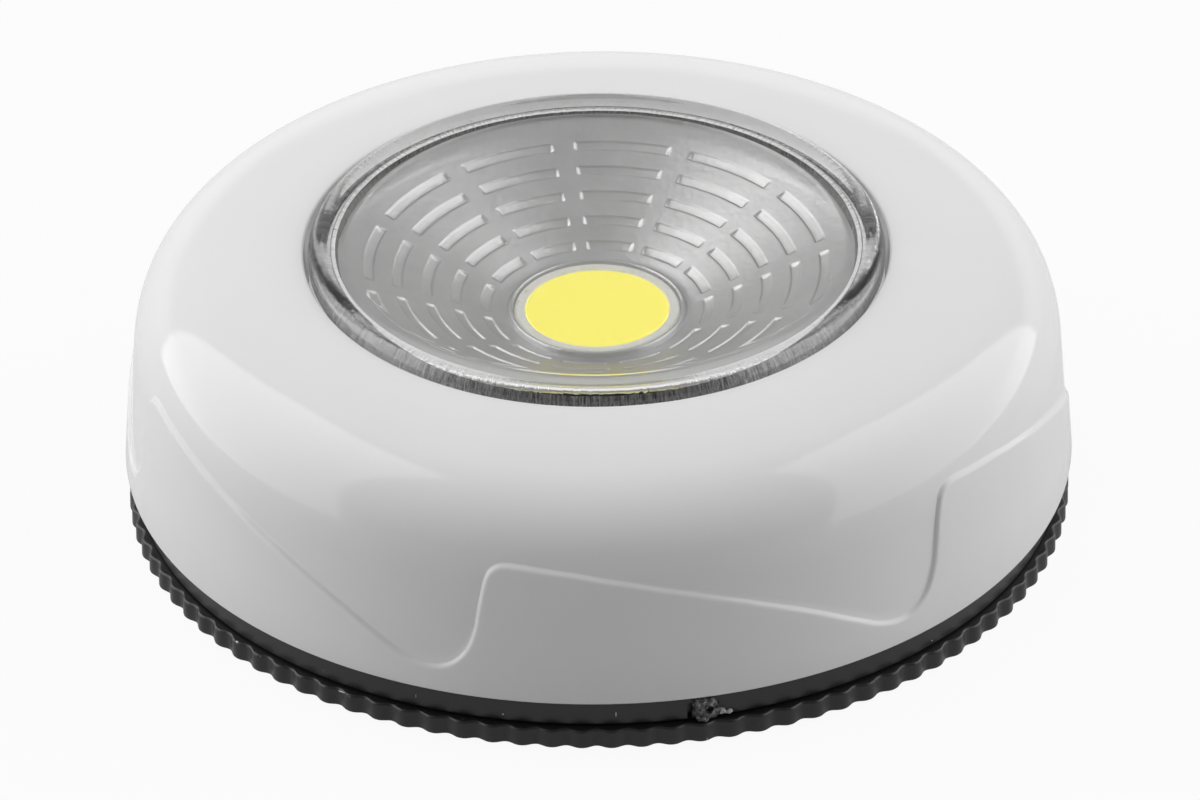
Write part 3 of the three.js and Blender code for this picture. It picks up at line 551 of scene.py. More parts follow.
@dataclass(frozen=True)
class ClearStyrene(Finish):
    """Clear polystyrene with the marks that its mould left: fine upright streaks round the side and faint ripples."""

    streak: float
    streak_depth: float
    inner_radius: float

    def build(self, tree: NodeTree, shader: Node, place: NodeSocket) -> None:
        """Full transmission, with a bump that follows the angle round the axis and fades over the flat window."""
        shader.inputs["Base Color"].default_value = linear("#FDFDFD")
        shader.inputs["Roughness"].default_value = 0.02
        shader.inputs["IOR"].default_value = 1.59
        shader.inputs["Transmission Weight"].default_value = 1.0
        parts = add_node(tree, "ShaderNodeSeparateXYZ", links={0: place})
        angle = add_node(tree, "ShaderNodeMath", {"operation": "ARCTAN2"}, None, {0: parts.outputs[0], 1: parts.outputs[1]})
        around = add_node(tree, "ShaderNodeMath", {"operation": "MULTIPLY"}, {1: self.inner_radius / self.streak}, {0: angle.outputs[0]})
        upwards = add_node(tree, "ShaderNodeMath", {"operation": "MULTIPLY"}, {1: 1 / (2.5 * MM)}, {0: parts.outputs[2]})
        unrolled = add_node(tree, "ShaderNodeCombineXYZ", links={0: around.outputs[0], 1: upwards.outputs[0]})
        streaks = add_node(tree, "ShaderNodeTexNoise", values={"Scale": 1.0, "Detail": 3.0, "Roughness": 0.7}, links={"Vector": unrolled.outputs[0]})
        flat = add_node(tree, "ShaderNodeVectorMath", {"operation": "MULTIPLY"}, {1: (1, 1, 0)}, {0: place})
        radius = add_node(tree, "ShaderNodeVectorMath", {"operation": "LENGTH"}, None, {0: flat.outputs[0]})
        side = add_node(
            tree, "ShaderNodeMapRange",
            values={"From Min": self.inner_radius * MM, "From Max": (self.inner_radius + 0.8) * MM, "To Min": 0.0, "To Max": 1.0},
            links={"Value": radius.outputs["Value"]},
        )
        height = add_node(tree, "ShaderNodeMath", {"operation": "MULTIPLY"}, None, {0: streaks.outputs["Fac"], 1: side.outputs["Result"]})
        bump = add_node(tree, "ShaderNodeBump", values={"Distance": self.streak_depth * MM}, links={"Height": height.outputs[0]})
        tree.links.new(bump.outputs[0], shader.inputs["Normal"])


@dataclass(frozen=True)
class MetallisedPlastic(Finish):
    """Plastic with vacuum-deposited aluminium: satin silver, a little mottled where the moulding under it is uneven."""

    colour: str
    roughness: float
    mottle: float
    mottle_depth: float

    def build(self, tree: NodeTree, shader: Node, place: NodeSocket) -> None:
        """A metal whose colour and roughness vary in soft patches."""
        shader.inputs["Metallic"].default_value = 1.0
        patches = add_node(tree, "ShaderNodeTexNoise", values={"Scale": 1 / (2.2 * MM), "Detail": 5.0, "Roughness": 0.65}, links={"Vector": place})
        tone = add_node(
            tree, "ShaderNodeMapRange", values={"From Min": 0.3, "From Max": 0.7, "To Min": 0.93, "To Max": 1.05},
            links={"Value": patches.outputs["Fac"]},
        )
        colour = add_node(tree, "ShaderNodeVectorMath", {"operation": "SCALE"}, {0: linear(self.colour)[:3]}, {"Scale": tone.outputs["Result"]})
        tree.links.new(colour.outputs[0], shader.inputs["Base Color"])
        dull = add_node(
            tree, "ShaderNodeMapRange",
            values={"From Min": 0.3, "From Max": 0.7, "To Min": self.roughness - 0.05, "To Max": self.roughness + 0.05},
            links={"Value": patches.outputs["Fac"]},
        )
        tree.links.new(dull.outputs["Result"], shader.inputs["Roughness"])
        ripple = add_node(tree, "ShaderNodeTexNoise", values={"Scale": 1 / (self.mottle * MM), "Detail": 3.0}, links={"Vector": place})
        bump = add_node(tree, "ShaderNodeBump", values={"Distance": self.mottle_depth * MM}, links={"Height": ripple.outputs["Fac"]})
        tree.links.new(bump.outputs[0], shader.inputs["Normal"])


@dataclass(frozen=True)
class StreakedPlastic(Finish):
    """An upright wall painted near black as shade, with uneven grey streaks from top to bottom that are its own marks.
    """

    colour: str
    streak_colour: str
    streak: float
    radius: float

    def build(self, tree: NodeTree, shader: Node, place: NodeSocket) -> None:
        """Streaks that follow the angle round the axis, broken by blotches."""
        parts = add_node(tree, "ShaderNodeSeparateXYZ", links={0: place})
        angle = add_node(tree, "ShaderNodeMath", {"operation": "ARCTAN2"}, None, {0: parts.outputs[0], 1: parts.outputs[1]})
        around = add_node(tree, "ShaderNodeMath", {"operation": "MULTIPLY"}, {1: self.radius / self.streak}, {0: angle.outputs[0]})
        upwards = add_node(tree, "ShaderNodeMath", {"operation": "MULTIPLY"}, {1: 1 / (1.2 * MM)}, {0: parts.outputs[2]})
        unrolled = add_node(tree, "ShaderNodeCombineXYZ", links={0: around.outputs[0], 1: upwards.outputs[0]})
        streaks = add_node(tree, "ShaderNodeTexNoise", values={"Scale": 1.0, "Detail": 4.0, "Roughness": 0.75}, links={"Vector": unrolled.outputs[0]})
        # Near black as painted shade, broken by grey streaks
        ramp = add_node(tree, "ShaderNodeValToRGB", links={0: streaks.outputs["Fac"]})
        ramp.color_ramp.elements[0].color = linear(self.colour)
        ramp.color_ramp.elements[0].position = 0.43
        ramp.color_ramp.elements[1].color = linear(self.streak_colour)
        ramp.color_ramp.elements[1].position = 0.6
        tree.links.new(ramp.outputs[0], shader.inputs["Base Color"])
        shader.inputs["Roughness"].default_value = 0.5
        bump = add_node(tree, "ShaderNodeBump", values={"Distance": 0.02 * MM}, links={"Height": streaks.outputs["Fac"]})
        tree.links.new(bump.outputs[0], shader.inputs["Normal"])


@dataclass(frozen=True)
class WorkedMetal(Finish):
    """Bare or plated metal with fine marks left by drawing, stamping or turning."""

    colour: str
    roughness: float
    stretch: tuple[float, float, float] = (1.0, 1.0, 1.0)
    mark: float = 0.12
    mark_depth: float = 0.006

    def build(self, tree: NodeTree, shader: Node, place: NodeSocket) -> None:
        """A metal with its marks drawn out along one direction."""
        shader.inputs["Metallic"].default_value = 1.0
        drawn = add_node(tree, "ShaderNodeMapping", values={"Scale": self.stretch}, links={"Vector": place})
        marks = add_node(tree, "ShaderNodeTexNoise", values={"Scale": 1 / (self.mark * MM), "Detail": 3.0}, links={"Vector": drawn.outputs[0]})
        tone = add_node(
            tree, "ShaderNodeMapRange", values={"From Min": 0.3, "From Max": 0.7, "To Min": 0.85, "To Max": 1.05},
            links={"Value": marks.outputs["Fac"]},
        )
        colour = add_node(tree, "ShaderNodeVectorMath", {"operation": "SCALE"}, {0: linear(self.colour)[:3]}, {"Scale": tone.outputs["Result"]})
        tree.links.new(colour.outputs[0], shader.inputs["Base Color"])
        shader.inputs["Roughness"].default_value = self.roughness
        bump = add_node(tree, "ShaderNodeBump", values={"Distance": self.mark_depth * MM}, links={"Height": marks.outputs["Fac"]})
        tree.links.new(bump.outputs[0], shader.inputs["Normal"])


@dataclass(frozen=True)
class PaintedGlowResin(Finish):
    """Silicone filled with yellow phosphor powder: flat, even yellow with sparse grey grains of powder, and a painted
    glow of its own.
    """

    colour: str
    grain: float
    painted_glow: float

    def build(self, tree: NodeTree, shader: Node, place: NodeSocket) -> None:
        """Yellow with a fine powder tone and scattered grey clots, denser towards one side."""
        powder = add_node(tree, "ShaderNodeTexNoise", values={"Scale": 1 / (self.grain * MM), "Detail": 2.0}, links={"Vector": place})
        tone = add_node(
            tree, "ShaderNodeMapRange", values={"From Min": 0.3, "From Max": 0.7, "To Min": 0.96, "To Max": 1.04},
            links={"Value": powder.outputs["Fac"]},
        )
        colour = add_node(tree, "ShaderNodeVectorMath", {"operation": "SCALE"}, {0: linear(self.colour)[:3]}, {"Scale": tone.outputs["Result"]})
        clots = add_node(tree, "ShaderNodeTexNoise", values={"Scale": 1 / (0.45 * MM), "Detail": 3.0}, links={"Vector": place})
        parts = add_node(tree, "ShaderNodeSeparateXYZ", links={0: place})
        across = add_node(
            tree, "ShaderNodeMapRange", values={"From Min": -5 * MM, "From Max": 5 * MM, "To Min": 0.66, "To Max": 0.78},
            links={"Value": parts.outputs[0]},
        )
        thin = add_node(tree, "ShaderNodeMath", {"operation": "GREATER_THAN"}, None, {0: clots.outputs["Fac"], 1: across.outputs["Result"]})
        faint = add_node(tree, "ShaderNodeMath", {"operation": "MULTIPLY"}, {1: 0.45}, {0: thin.outputs[0]})
        mixed = add_node(tree, "ShaderNodeMix", {"data_type": "RGBA"}, {7: linear("#C9C79A")}, {0: faint.outputs[0], 6: colour.outputs[0]})
        tree.links.new(mixed.outputs[2], shader.inputs["Base Color"])
        # Painted light: the emission makes the resin glow by itself, brighter than a pigment under the lamps
        tree.links.new(mixed.outputs[2], shader.inputs["Emission Color"])
        shader.inputs["Emission Strength"].default_value = self.painted_glow
        shader.inputs["Roughness"].default_value = 0.45
        bump = add_node(tree, "ShaderNodeBump", values={"Distance": 0.004 * MM}, links={"Height": powder.outputs["Fac"]})
        tree.links.new(bump.outputs[0], shader.inputs["Normal"])


@dataclass(frozen=True)
class SolderMask(Finish):
    """White solder mask over the aluminium board's copper: matt white, its tracks standing faintly under it."""

    colour: str
    track: float

    def build(self, tree: NodeTree, shader: Node, place: NodeSocket) -> None:
        """Faint steps at the tracks' edges and a soft uneven gloss."""
        tracks = add_node(tree, "ShaderNodeTexWave", {"wave_type": "RINGS", "rings_direction": "Z"}, {"Scale": 1 / (self.track * MM) / 6.28, "Distortion": 1.5}, {"Vector": place})
        step = add_node(
            tree, "ShaderNodeMapRange", values={"From Min": 0.45, "From Max": 0.55, "To Min": 0.0, "To Max": 1.0},
            links={"Value": tracks.outputs["Fac"]},
        )
        tone = add_node(
            tree, "ShaderNodeMapRange", values={"To Min": 0.96, "To Max": 1.0}, links={"Value": step.outputs["Result"]},
        )
        colour = add_node(tree, "ShaderNodeVectorMath", {"operation": "SCALE"}, {0: linear(self.colour)[:3]}, {"Scale": tone.outputs["Result"]})
        tree.links.new(colour.outputs[0], shader.inputs["Base Color"])
        shader.inputs["Roughness"].default_value = 0.4
        bump = add_node(tree, "ShaderNodeBump", values={"Distance": 0.03 * MM}, links={"Height": step.outputs["Result"]})
        tree.links.new(bump.outputs[0], shader.inputs["Normal"])


@dataclass(frozen=True)
class CellSleeve(Finish):
    """A dry cell: a printed plastic sleeve in two plain colours, bare nickel at both ends."""

    colour: str
    band: str
    half_length: float

    def build(self, tree: NodeTree, shader: Node, place: NodeSocket) -> None:
        """A sleeve over the middle, and metal past its ends."""
        parts = add_node(tree, "ShaderNodeSeparateXYZ", links={0: place})
        along = add_node(tree, "ShaderNodeMath", {"operation": "ABSOLUTE"}, None, {0: parts.outputs[1]})
        banded = add_node(tree, "ShaderNodeMath", {"operation": "GREATER_THAN"}, {1: (self.half_length - 10) * MM}, {0: along.outputs[0]})
        bare = add_node(tree, "ShaderNodeMath", {"operation": "GREATER_THAN"}, {1: (self.half_length - 1.3) * MM}, {0: along.outputs[0]})
        printed = add_node(tree, "ShaderNodeMix", {"data_type": "RGBA"}, {6: linear(self.colour), 7: linear(self.band)}, {0: banded.outputs[0]})
        ended = add_node(tree, "ShaderNodeMix", {"data_type": "RGBA"}, {7: linear("#C4BFB2")}, {0: bare.outputs[0], 6: printed.outputs[2]})
        tree.links.new(ended.outputs[2], shader.inputs["Base Color"])
        tree.links.new(bare.outputs[0], shader.inputs["Metallic"])
        wrinkles = add_node(tree, "ShaderNodeTexNoise", values={"Scale": 1 / (1.5 * MM), "Detail": 2.0}, links={"Vector": place})
        dull = add_node(
            tree, "ShaderNodeMapRange", values={"From Min": 0.3, "From Max": 0.7, "To Min": 0.24, "To Max": 0.36},
            links={"Value": wrinkles.outputs["Fac"]},
        )
        tree.links.new(dull.outputs["Result"], shader.inputs["Roughness"])
        bump = add_node(tree, "ShaderNodeBump", values={"Distance": 0.02 * MM}, links={"Height": wrinkles.outputs["Fac"]})
        tree.links.new(bump.outputs[0], shader.inputs["Normal"])


WHITE_ABS = MouldedPlastic(
    "gloss_white_moulded_abs", "#DCDCDC", 0.08, 0.35, 0.001, wave=7.0, wave_depth=0.01,
    speck="#C6C6C5", speck_share=0.0, speck_pitch=2.2, tone=0.008, specular=0.3,
)
BLACK_ABS = MouldedPlastic(
    "satin_black_moulded_abs", "#1D1D1E", 0.36, 0.12, 0.008, speck="#7C7C7C", speck_share=0.12, speck_pitch=0.9, tone=0.1,
)
TORN_ABS = TornPlastic("torn_black_abs", "#232323", "#8C8C8C", 0.3)
WHITENED_ABS = MouldedPlastic("stress_whitened_abs", "#C4C4C4", 0.4, 0.1, 0.02, tone=0.3)
GREY_PLASTIC = MouldedPlastic("grey_moulded_polycarbonate", "#C9CAC8", 0.4, 0.15, 0.004)
SWITCH_BODY = MouldedPlastic("black_moulded_nylon", "#24272C", 0.5, 0.1, 0.006)
CERAMIC = MouldedPlastic("glazed_black_ceramic", "#22242A", 0.3, 0.08, 0.003)
RED_SLEEVE = MouldedPlastic("red_extruded_pvc", "#B3252B", 0.4, 0.3, 0.006)
BLACK_SLEEVE = MouldedPlastic("black_extruded_pvc", "#26262A", 0.4, 0.3, 0.006)
PAD_FOAM = FoamTape("pale_polyethylene_foam", "#D9D9D2", 0.35)
LENS_STYRENE = ClearStyrene("clear_moulded_polystyrene", 0.35, 0.05, 18.6)
REFLECTOR_METAL = MetallisedPlastic("vacuum_metallised_polystyrene", "#CCCCCC", 0.42, 0.5, 0.03)
# The seat's white glows with painted light, which lifts it out of the shade under the cap's rim
SEAT_PAINTED_GLOW = PaintedGlowResin("white_polystyrene_painted_glow", "#F0F0F0", 0.35, 0.22)
# Near black as painted shade on the wall seen through the cap's rim, with grey streaks
UPSTAND_PAINTED_SHADE = StreakedPlastic("upstand_painted_shade_streaks", "#0A0A0A", "#A6A6A6", 0.14, 19.4)
BOARD_MASK = SolderMask("white_masked_aluminium_board", "#DADCDB", 2.0)
# The dam's glow is painted light, which lifts it out of the shade under the cap
DAM_SILICONE = PaintedGlowResin("white_silicone_painted_glow", "#F0F0E8", 0.3, 0.2)
# The phosphor's glow is painted light, brighter than the lamps make it
LED_PHOSPHOR = PaintedGlowResin("phosphor_filled_silicone", "#FFF45A", 0.12, 0.55)
NICKEL = WorkedMetal("nickel_plated_spring_steel", "#B8B4AA", 0.3)
ZINC_STEEL = WorkedMetal("zinc_plated_steel", "#A4A6A8", 0.34)
CELL_SLEEVE = CellSleeve("printed_dry_cell_sleeve", "#3A5F7D", "#C9A24B", 22.25)


# ---------------------------------------------------------------- sub-assemblies


def hand_in(
    piece: Object, body: Body, slot: Slot, finish: Finish, *nodes: str, smooth: float = 30.0,
) -> Object:
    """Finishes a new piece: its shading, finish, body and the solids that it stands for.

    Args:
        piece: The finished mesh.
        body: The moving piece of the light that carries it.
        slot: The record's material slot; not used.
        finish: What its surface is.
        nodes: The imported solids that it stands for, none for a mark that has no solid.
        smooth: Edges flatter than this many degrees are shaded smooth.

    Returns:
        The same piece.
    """
    only(piece)
    bpy.ops.object.shade_smooth_by_angle(angle=math.radians(smooth))
    finish.on(piece)
    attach(piece, body.value)
    if nodes:
        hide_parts(*nodes)
    log.info("%s: %d faces, %s", piece.name, len(piece.data.polygons), finish.name)
    return piece


@dataclass
class Base:
    """What stays on the wall: the foam pad and the knurled battery cover, in millimetres."""

    pad_radius: float = 24.0
    pad_thickness: float = 0.8
    pad_proud: float = 0.4
    pad_edge: float = 0.15
    crest_radius: float = 33.97
    rim_inner: float = 32.9
    foot_radius: float = 32.6
    knurl_depth: float = 0.34
    knurl_count: int = 98
    knurl_steps: int = 12
    knurl_start: float = 1.22
    knurl_power: float = 1.2
    rim_top: float = 1.9
    floor_top: float = 1.6
    dish_radius: float = 31.4
    edge: float = 0.2
    lug_inner: float = 28.7
    lug_stem: float = 1.0
    lug_barb: float = 0.9
    lug_top: float = 5.6
    barb_height: float = 1.0
    lug_turn: float = 14.0
    lug_places: tuple[int, ...] = (0, 90, 180, 270)
    twist: float = 18.0
    gap: float = 0.3

    def pad(self) -> Object:
        """The foam disc, its cut edge a little rounded."""
        edge = self.pad_edge
        outline = [
            (0.0, 0.0),
            *corner((self.pad_radius - edge, edge), edge, -90, 0, 4),
            *corner((self.pad_radius - edge, self.pad_thickness - edge), edge, 0, 90, 4),
            (0.0, self.pad_thickness),
        ]
        piece = turned("foam_pad", outline, 128)
        hand_in(piece, Body.BASE, Slot.FOAM, PAD_FOAM, "adhesive_pad")
        return piece

    def cover_outline(self) -> list[Point]:
        """Outline of the cover before its rim is knurled."""
        bottom, top, edge = self.pad_proud, self.rim_top, self.edge
        return [
            (0.0, self.pad_thickness),
            (self.pad_radius + self.gap, self.pad_thickness),
            (self.pad_radius + self.gap, bottom),
            (self.foot_radius, bottom),
            *corner((self.crest_radius - edge, bottom + edge), edge, -90, 0, 4),
            *corner((self.crest_radius - edge, top - edge), edge, 0, 90, 5),
            (self.rim_inner, top),
            (self.dish_radius, top),
            (self.dish_radius, self.floor_top),
            (0.0, self.floor_top),
        ]

    def cover(self) -> Object:
        """The cover: a turned disc, its rim drawn into broad crests and narrow valleys, with four lugs."""
        outline = self.cover_outline()
        steps = self.knurl_count * self.knurl_steps
        piece = turned("knurled_cover", outline, steps)
        columns, rows = grid_places(piece, outline, steps)
        radii, heights = np.array(outline).T[:, rows]
        share = ((columns + self.knurl_steps / 2) % self.knurl_steps) / self.knurl_steps - 0.5
        valley = (0.5 - 0.5 * np.cos(2 * math.pi * share)) ** self.knurl_power
        rim = np.clip((radii - self.rim_inner) / (self.crest_radius - self.edge - self.rim_inner), 0, 1)
        azimuths = self.knurl_start + columns / steps * FULL_TURN
        move_to(piece, radii - self.knurl_depth * valley * rim, azimuths, heights)
        combine(piece, self.lugs(), "UNION")
        return hand_in(piece, Body.BASE, Slot.BLACK_PLASTIC, BLACK_ABS, "battery_cover", smooth=35)

    def lugs(self) -> list[Object]:
        """Stem and barb of each bayonet lug."""
        made = []
        stem_outer = self.lug_inner + self.lug_stem
        foot, barb_bottom = self.floor_top - self.pad_proud, self.lug_top - self.barb_height
        barb = (stem_outer - self.lug_stem / 2, stem_outer + self.lug_barb)
        for middle in self.lug_places:
            turn = (middle - self.lug_turn / 2, middle + self.lug_turn / 2)
            made.append(ring_piece(self.lug_inner, stem_outer, foot, self.lug_top, *turn))
            made.append(ring_piece(*barb, barb_bottom, self.lug_top, *turn))
        return made

    def build(self) -> None:
        """Makes the pad and the cover."""
        self.pad()
        self.cover()


@dataclass
class BatteryChassis:
    """The black battery tray, whose smooth edge shows under the shell, in millimetres."""

    band_radius: float = 33.3
    band_bottom: float = 2.03
    band_top: float = 4.0
    skirt_radius: float = 32.0
    skirt_top: float = 6.5
    drum_radius: float = 31.4
    band_depth: float = 1.2
    top: float = 13.5
    edge: float = 0.14
    top_edge: float = 0.3
    bay_half: Point = (16.6, 24.6)
    bay_top: float = 12.6
    window_radius: float = 11.12
    pocket: tuple[float, float, float] = (17.6, 27.0, 4.3)
    switch_floor: float = 5.7
    boss_places: list[Point] = field(default_factory=lambda: four_places(27.7, 39.15))
    boss_room: float = 2.2
    bore: float = 1.2
    post_places: list[Point] = field(default_factory=lambda: four_places(21.6, 24.3))
    post_room: float = 2.3
    post_bore: float = 1.4
    post_bottom: float = 5.9
    spring_floor: float = 11.0
    tag_place: float = 13.0
    tag_half: Point = (1.3, 0.7)
    lead_place: Point = (5.5, -22.9)
    ledge: float = 0.3
    undercut: float = 1.6
    over: float = 1.0
    slot_azimuth: Point = (10.5, 11.1)
    slot_height: Point = (2.15, 3.4)
    slot_depth: float = 0.5

    def drum(self) -> Object:
        """The turned body with its rounded band."""
        edge, band = self.edge, self.band_radius
        outline = [
            (0.0, self.band_bottom),
            (band - self.band_depth, self.band_bottom),
            *corner((band - edge, self.band_bottom + edge), edge, -90, 0, 4),
            *corner((band - edge, self.band_top - edge), edge, 0, 90, 4),
            (self.skirt_radius, self.band_top),
            (self.skirt_radius, self.skirt_top),
            (self.drum_radius, self.skirt_top),
            (self.drum_radius, self.top - self.top_edge),
            (self.drum_radius - self.top_edge, self.top),
            (0.0, self.top),
        ]
        return turned("battery_tray", outline, 288)

    def lug_rooms(self) -> list[Object]:
        """Rooms for the cover's lugs: a stem slot, an undercut and an entry window each."""
        lugs = Base()
        slack = lugs.gap / math.radians(lugs.lug_inner)
        inner = lugs.lug_inner - lugs.gap
        stem_outer = lugs.lug_inner + lugs.lug_stem + lugs.gap
        barb_outer = stem_outer + lugs.lug_barb
        floor, below = self.band_top + self.ledge, self.band_bottom - self.over
        made = []
        for middle in lugs.lug_places:
            start, end = middle - lugs.lug_turn / 2 - slack, middle + lugs.lug_turn / 2 + slack
            entry = (start - lugs.twist, end - lugs.twist)
            made.append(ring_piece(inner, stem_outer, below, floor + self.ledge, entry[0], end))
            made.append(ring_piece(inner, barb_outer, floor, floor + self.undercut, entry[0], end))
            made.append(ring_piece(inner, barb_outer, below, floor + self.ledge, *entry))
        return made

    def cuts(self) -> list[Object]:
        """All that is cut out of the drum."""
        under, over, high = self.band_bottom - self.over, self.top + self.over, self.bay_top - self.over
        (half_x, half_y), (start, end, side) = self.bay_half, self.pocket
        made = [
            box((-half_x, -half_y, under), (half_x, half_y, self.bay_top)),
            rod(self.window_radius, high, over, (0, 0), 96),
            box((start, -side, self.switch_floor), (end, side, over)),
            box((-end, -side, under), (-start, side, self.bay_top)),
            *self.lug_rooms(),
        ]
        for place in self.boss_places:
            made.append(rod(self.boss_room, under, self.bay_top, place))
            made.append(rod(self.bore, high, over, place, 24))
        for place in self.post_places:
            made.append(rod(self.post_room, self.spring_floor, over, place))
            made.append(rod(self.post_bore, self.post_bottom, over, place, 24))
        (tag_x, tag_y), (lead_x, lead_y) = self.tag_half, self.lead_place
        for side_x in (-1, 1):
            low_y, high_y = sorted((side_x * half_y, side_x * (half_y - tag_y)))
            middle = side_x * self.tag_place
            made.append(box((middle - tag_x, low_y, high), (middle + tag_x, high_y, over)))
            made.append(rod(self.bore, high, over, (side_x * lead_x, lead_y), 24))
        return made

    def build(self) -> Object:
        """Makes the tray with the slot beside its torn gate."""
        piece = self.drum()
        reach = (self.band_radius - self.slot_depth, self.band_radius + self.over)
        slot = ring_piece(*reach, *self.slot_height, *self.slot_azimuth)
        combine(piece, [*self.cuts(), slot], "DIFFERENCE")
        return hand_in(piece, Body.HOUSING, Slot.BLACK_PLASTIC, BLACK_ABS, "battery_chassis")


@dataclass
class TornGate:
    """Where the tray was torn off its runner: a knobbly lump with a hollow, and chips that went white."""

    lumps: tuple[Bit, ...] = (
        Bit(12.75, 2.95, 1.7, 1.75, 0.3, rough=0.3, seed=3.0),
        Bit(12.1, 3.5, 1.05, 0.95, 0.55, rough=0.2, seed=11.0),
        Bit(12.4, 2.35, 0.9, 0.75, 0.42, rough=0.35, seed=17.0),
        Bit(14.05, 2.8, 0.42, 1.0, 0.4, rough=0.2, seed=23.0),
    )
    hollow: Bit = Bit(13.1, 3.0, 0.62, 0.6, 0.6, radius=33.75)
    chips: tuple[Bit, ...] = (
        Bit(14.8, 2.45, 0.5, 0.4, 0.2, rough=0.25, seed=31.0),
        Bit(15.75, 2.3, 0.6, 0.2, 0.12, rough=0.15, seed=37.0),
        Bit(12.7, 2.15, 0.5, 0.16, 0.5, rough=0.2, seed=41.0),
    )

    def lump(self, bit: Bit) -> Object:
        """A cube rounded and pushed about into a torn lump that reaches into the band."""
        deselect_all()
        size = (bit.width * MM, 2 * bit.proud * MM, bit.tallness * MM)
        bpy.ops.mesh.primitive_cube_add(size=1, location=(0, 0, 0), scale=size)
        piece = bpy.context.object
        settle(piece)
        with editing(piece):
            bpy.ops.mesh.select_all(action="SELECT")
            bpy.ops.mesh.subdivide(number_cuts=9, smoothness=0)
        apply_modifier(piece, "CAST", factor=0.6, cast_type="SPHERE")
        clouds = bpy.data.textures.new("torn_plastic", "CLOUDS")
        clouds.noise_scale = 0.3 * MM
        clouds.noise_depth = 2
        piece.location = (bit.seed * MM, 0, 0)
        settle(piece)
        push = {"strength": bit.rough * MM, "mid_level": 0.5}
        apply_modifier(piece, "DISPLACE", texture=clouds, texture_coords="LOCAL", **push)
        with editing(piece):
            bpy.ops.mesh.select_all(action="SELECT")
            bpy.ops.transform.translate(value=(-bit.seed * MM, -bit.radius * MM, bit.height * MM))
        piece.rotation_euler.z = math.radians(bit.azimuth)
        settle(piece)
        return piece

    def build(self) -> None:
        """Makes the lump and the chips."""
        gate = combined("torn_gate", [self.lump(bit) for bit in self.lumps])
        combine(gate, [bead(self.hollow)], "DIFFERENCE")
        hand_in(gate, Body.HOUSING, Slot.BLACK_PLASTIC, TORN_ABS, smooth=40)
        chips = combined("gate_chips", [self.lump(bit) for bit in self.chips])
        hand_in(chips, Body.HOUSING, Slot.BLACK_PLASTIC, WHITENED_ABS, smooth=40)


@dataclass
class RimMarks:
    """Nicks and burrs that handling left on the black rim, whitened where the plastic was bruised."""

    on_tray: tuple[Bit, ...] = (
        Bit(1.75, 2.9, 0.07, 0.42, 0.03),
        Bit(-23.25, 2.88, 0.05, 0.34, 0.03),
        Bit(-12.1, 2.55, 0.12, 0.12, 0.04),
        Bit(45.1, 2.45, 0.16, 0.07, 0.04),
    )
    on_cover: tuple[Bit, ...] = (
        Bit(-33.0, 1.86, 0.6, 0.1, 0.06, radius=33.85),
        Bit(-50.0, 1.84, 0.3, 0.16, 0.1, radius=33.85),
        Bit(12.7, 0.62, 0.14, 0.14, 0.05, radius=33.9),
        Bit(27.5, 1.3, 0.14, 0.1, 0.05, radius=33.85),
    )
    flash: tuple[Bit, ...] = (Bit(42.2, 4.45, 0.25, 0.45, 0.08, radius=34.0),)

    def build(self) -> None:
        """Makes the marks of each body as one piece, and the bead of black flash over the tray's edge."""
        for name, body, bits, finish in (
            ("tray_nicks", Body.HOUSING, self.on_tray, WHITENED_ABS),
            ("tray_flash", Body.HOUSING, self.flash, BLACK_ABS),
            ("cover_nicks", Body.BASE, self.on_cover, WHITENED_ABS),
        ):
            hand_in(combined(name, [bead(bit) for bit in bits]), body, Slot.BLACK_PLASTIC, finish)


